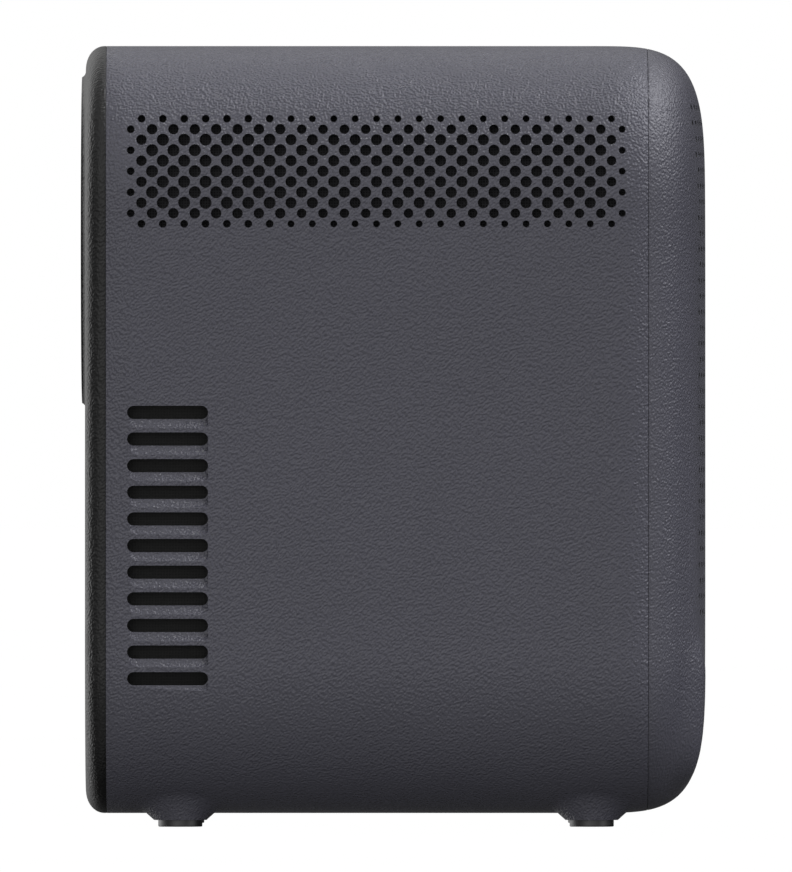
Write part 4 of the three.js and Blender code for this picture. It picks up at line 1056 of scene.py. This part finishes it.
# The studio: a white backdrop for the camera, and soft lights round the object.
# Each light is a round glow: its direction, how tight it is (4 a wide wall, 60 a softbox, 200 and more a lamp), strength and tint.
WHITE, COOL = (1.0, 1.0, 1.0), (0.985, 0.987, 1.045)
LIGHTS = [
    ((0.225, 0.000, 0.974), 700, 36.00, WHITE),
    ((-0.110, 0.000, 0.994), 200, 3.60, WHITE),
    ((0.232, 0.517, 0.824), 60, 3.70, COOL),
    ((0.038, 0.525, 0.850), 60, 3.77, COOL),
    ((-0.073, 0.773, 0.631), 60, 3.44, COOL),
    ((0.442, 0.764, 0.469), 60, 2.60, COOL),
    ((-0.227, 0.601, 0.766), 60, 2.39, COOL),
    ((0.461, 0.559, 0.689), 60, 2.00, COOL),
    ((-0.421, 0.724, 0.547), 60, 1.70, COOL),
    ((-0.560, -0.824, 0.086), 14, 1.25, WHITE),
    ((-0.085, 0.583, 0.808), 60, 1.62, COOL),
    ((0.465, 0.670, 0.579), 60, 1.34, COOL),
    ((-0.150, 0.840, 0.521), 60, 1.21, COOL),
    ((-0.233, 0.881, 0.411), 60, 1.17, COOL),
    ((-0.117, 0.932, 0.344), 60, 1.14, COOL),
    ((-0.746, -0.448, 0.492), 14, 0.88, WHITE),
    ((-0.615, 0.152, 0.773), 14, 0.62, WHITE),
    ((0.555, -0.408, 0.725), 4, 0.73, WHITE),
    ((0.929, -0.323, 0.180), 14, 0.67, WHITE),
    ((-0.425, 0.826, 0.369), 60, 0.67, COOL),
    ((-0.811, -0.584, -0.039), 14, 0.46, WHITE),
    ((0.405, 0.902, 0.148), 14, 0.48, WHITE),
    ((-0.201, 0.951, 0.234), 60, 0.50, WHITE),
    ((-0.447, -0.357, 0.820), 14, 0.48, WHITE),
    ((0.519, 0.836, -0.180), 14, 0.43, WHITE),
    ((0.440, -0.398, -0.805), 14, 0.33, WHITE),
    ((-0.336, 0.811, 0.479), 60, 0.33, COOL),
    ((-0.369, -0.922, -0.117), 14, 0.30, WHITE),
    ((0.668, 0.392, -0.633), 14, 0.30, WHITE),
    ((-0.362, 0.379, 0.852), 14, 0.29, WHITE),
    ((0.878, -0.059, 0.475), 4, 0.27, WHITE),
    ((-0.632, 0.425, 0.648), 14, 0.19, WHITE),
    ((0.725, -0.498, -0.477), 14, 0.15, WHITE),
    ((-0.648, -0.723, -0.242), 14, 0.15, WHITE),
    ((0.907, -0.233, -0.352), 14, 0.14, WHITE),
    ((-0.030, -1.000, 0.008), 14, 0.11, WHITE),
    ((-0.239, -0.948, 0.211), 14, 0.06, WHITE),
    ((0.965, 0.262, 0.000), 60, 0.50, WHITE),
    ((1.000, 0.000, 0.000), 14, 0.10, WHITE),
]
AMBIENT, OVERHEAD = 0.04, 0.00

world = bpy.data.worlds.new("studio")
scene.world = world
world.use_nodes = True
wn = world.node_tree
wn.nodes.clear()
tc = wn.nodes.new("ShaderNodeTexCoord")
sep = wn.nodes.new("ShaderNodeSeparateXYZ")
wn.links.new(tc.outputs["Generated"], sep.inputs[0])
up = math_node(wn, "MAXIMUM", sep.outputs["Z"], 0.0)
up = math_node(wn, "MULTIPLY", up, up)
up = math_node(wn, "MULTIPLY_ADD", up, OVERHEAD, AMBIENT)
total = wn.nodes.new("ShaderNodeCombineXYZ")
for i in range(3):
    wn.links.new(up, total.inputs[i])
total = total.outputs[0]
for direction, tight, strength, tint in LIGHTS:
    length = math.sqrt(sum(c * c for c in direction))
    dot = wn.nodes.new("ShaderNodeVectorMath")
    dot.operation = "DOT_PRODUCT"
    dot.inputs[1].default_value = tuple(c / length for c in direction)
    wn.links.new(tc.outputs["Generated"], dot.inputs[0])
    fall = math_node(wn, "MULTIPLY_ADD", dot.outputs["Value"], float(tight), float(-tight))
    glow = math_node(wn, "EXPONENT", fall)
    add = wn.nodes.new("ShaderNodeVectorMath")
    add.operation = "MULTIPLY_ADD"
    add.inputs[1].default_value = tuple(strength * c for c in tint)
    wn.links.new(glow, add.inputs[0])
    wn.links.new(total, add.inputs[2])
    total = add.outputs[0]
lit = wn.nodes.new("ShaderNodeBackground")
wn.links.new(total, lit.inputs["Color"])
backdrop = wn.nodes.new("ShaderNodeBackground")
backdrop.inputs["Color"].default_value = (1, 1, 1, 1)
path = wn.nodes.new("ShaderNodeLightPath")
mix = wn.nodes.new("ShaderNodeMixShader")
wn.links.new(path.outputs["Is Camera Ray"], mix.inputs[0])
wn.links.new(lit.outputs[0], mix.inputs[1])
wn.links.new(backdrop.outputs[0], mix.inputs[2])
wo = wn.nodes.new("ShaderNodeOutputWorld")
wn.links.new(mix.outputs[0], wo.inputs[0])

# ===================================================================== camera
DISTANCE = 9.4
PLANE_X = 0.039
cam_data = bpy.data.cameras.new("camera")
cam_data.sensor_fit = "AUTO"
cam_data.sensor_width = 36.0
cam_data.lens = 36.0 * DISTANCE * CAM_SCALE / (872 * 0.00026)
cam_data.clip_start = 0.1
cam_data.clip_end = 200.0
cam = bpy.data.objects.new("camera", cam_data)
scene.collection.objects.link(cam)
cam.location = (PLANE_X + DISTANCE, CAM_Y * MM, CAM_Z * MM)
cam.rotation_euler = (math.pi / 2, 0, math.pi / 2)
scene.camera = cam
scene.view_settings.view_transform = "Standard"
scene.view_settings.look = "None"
scene.view_settings.exposure = 0.0
scene.view_settings.gamma = 1.0
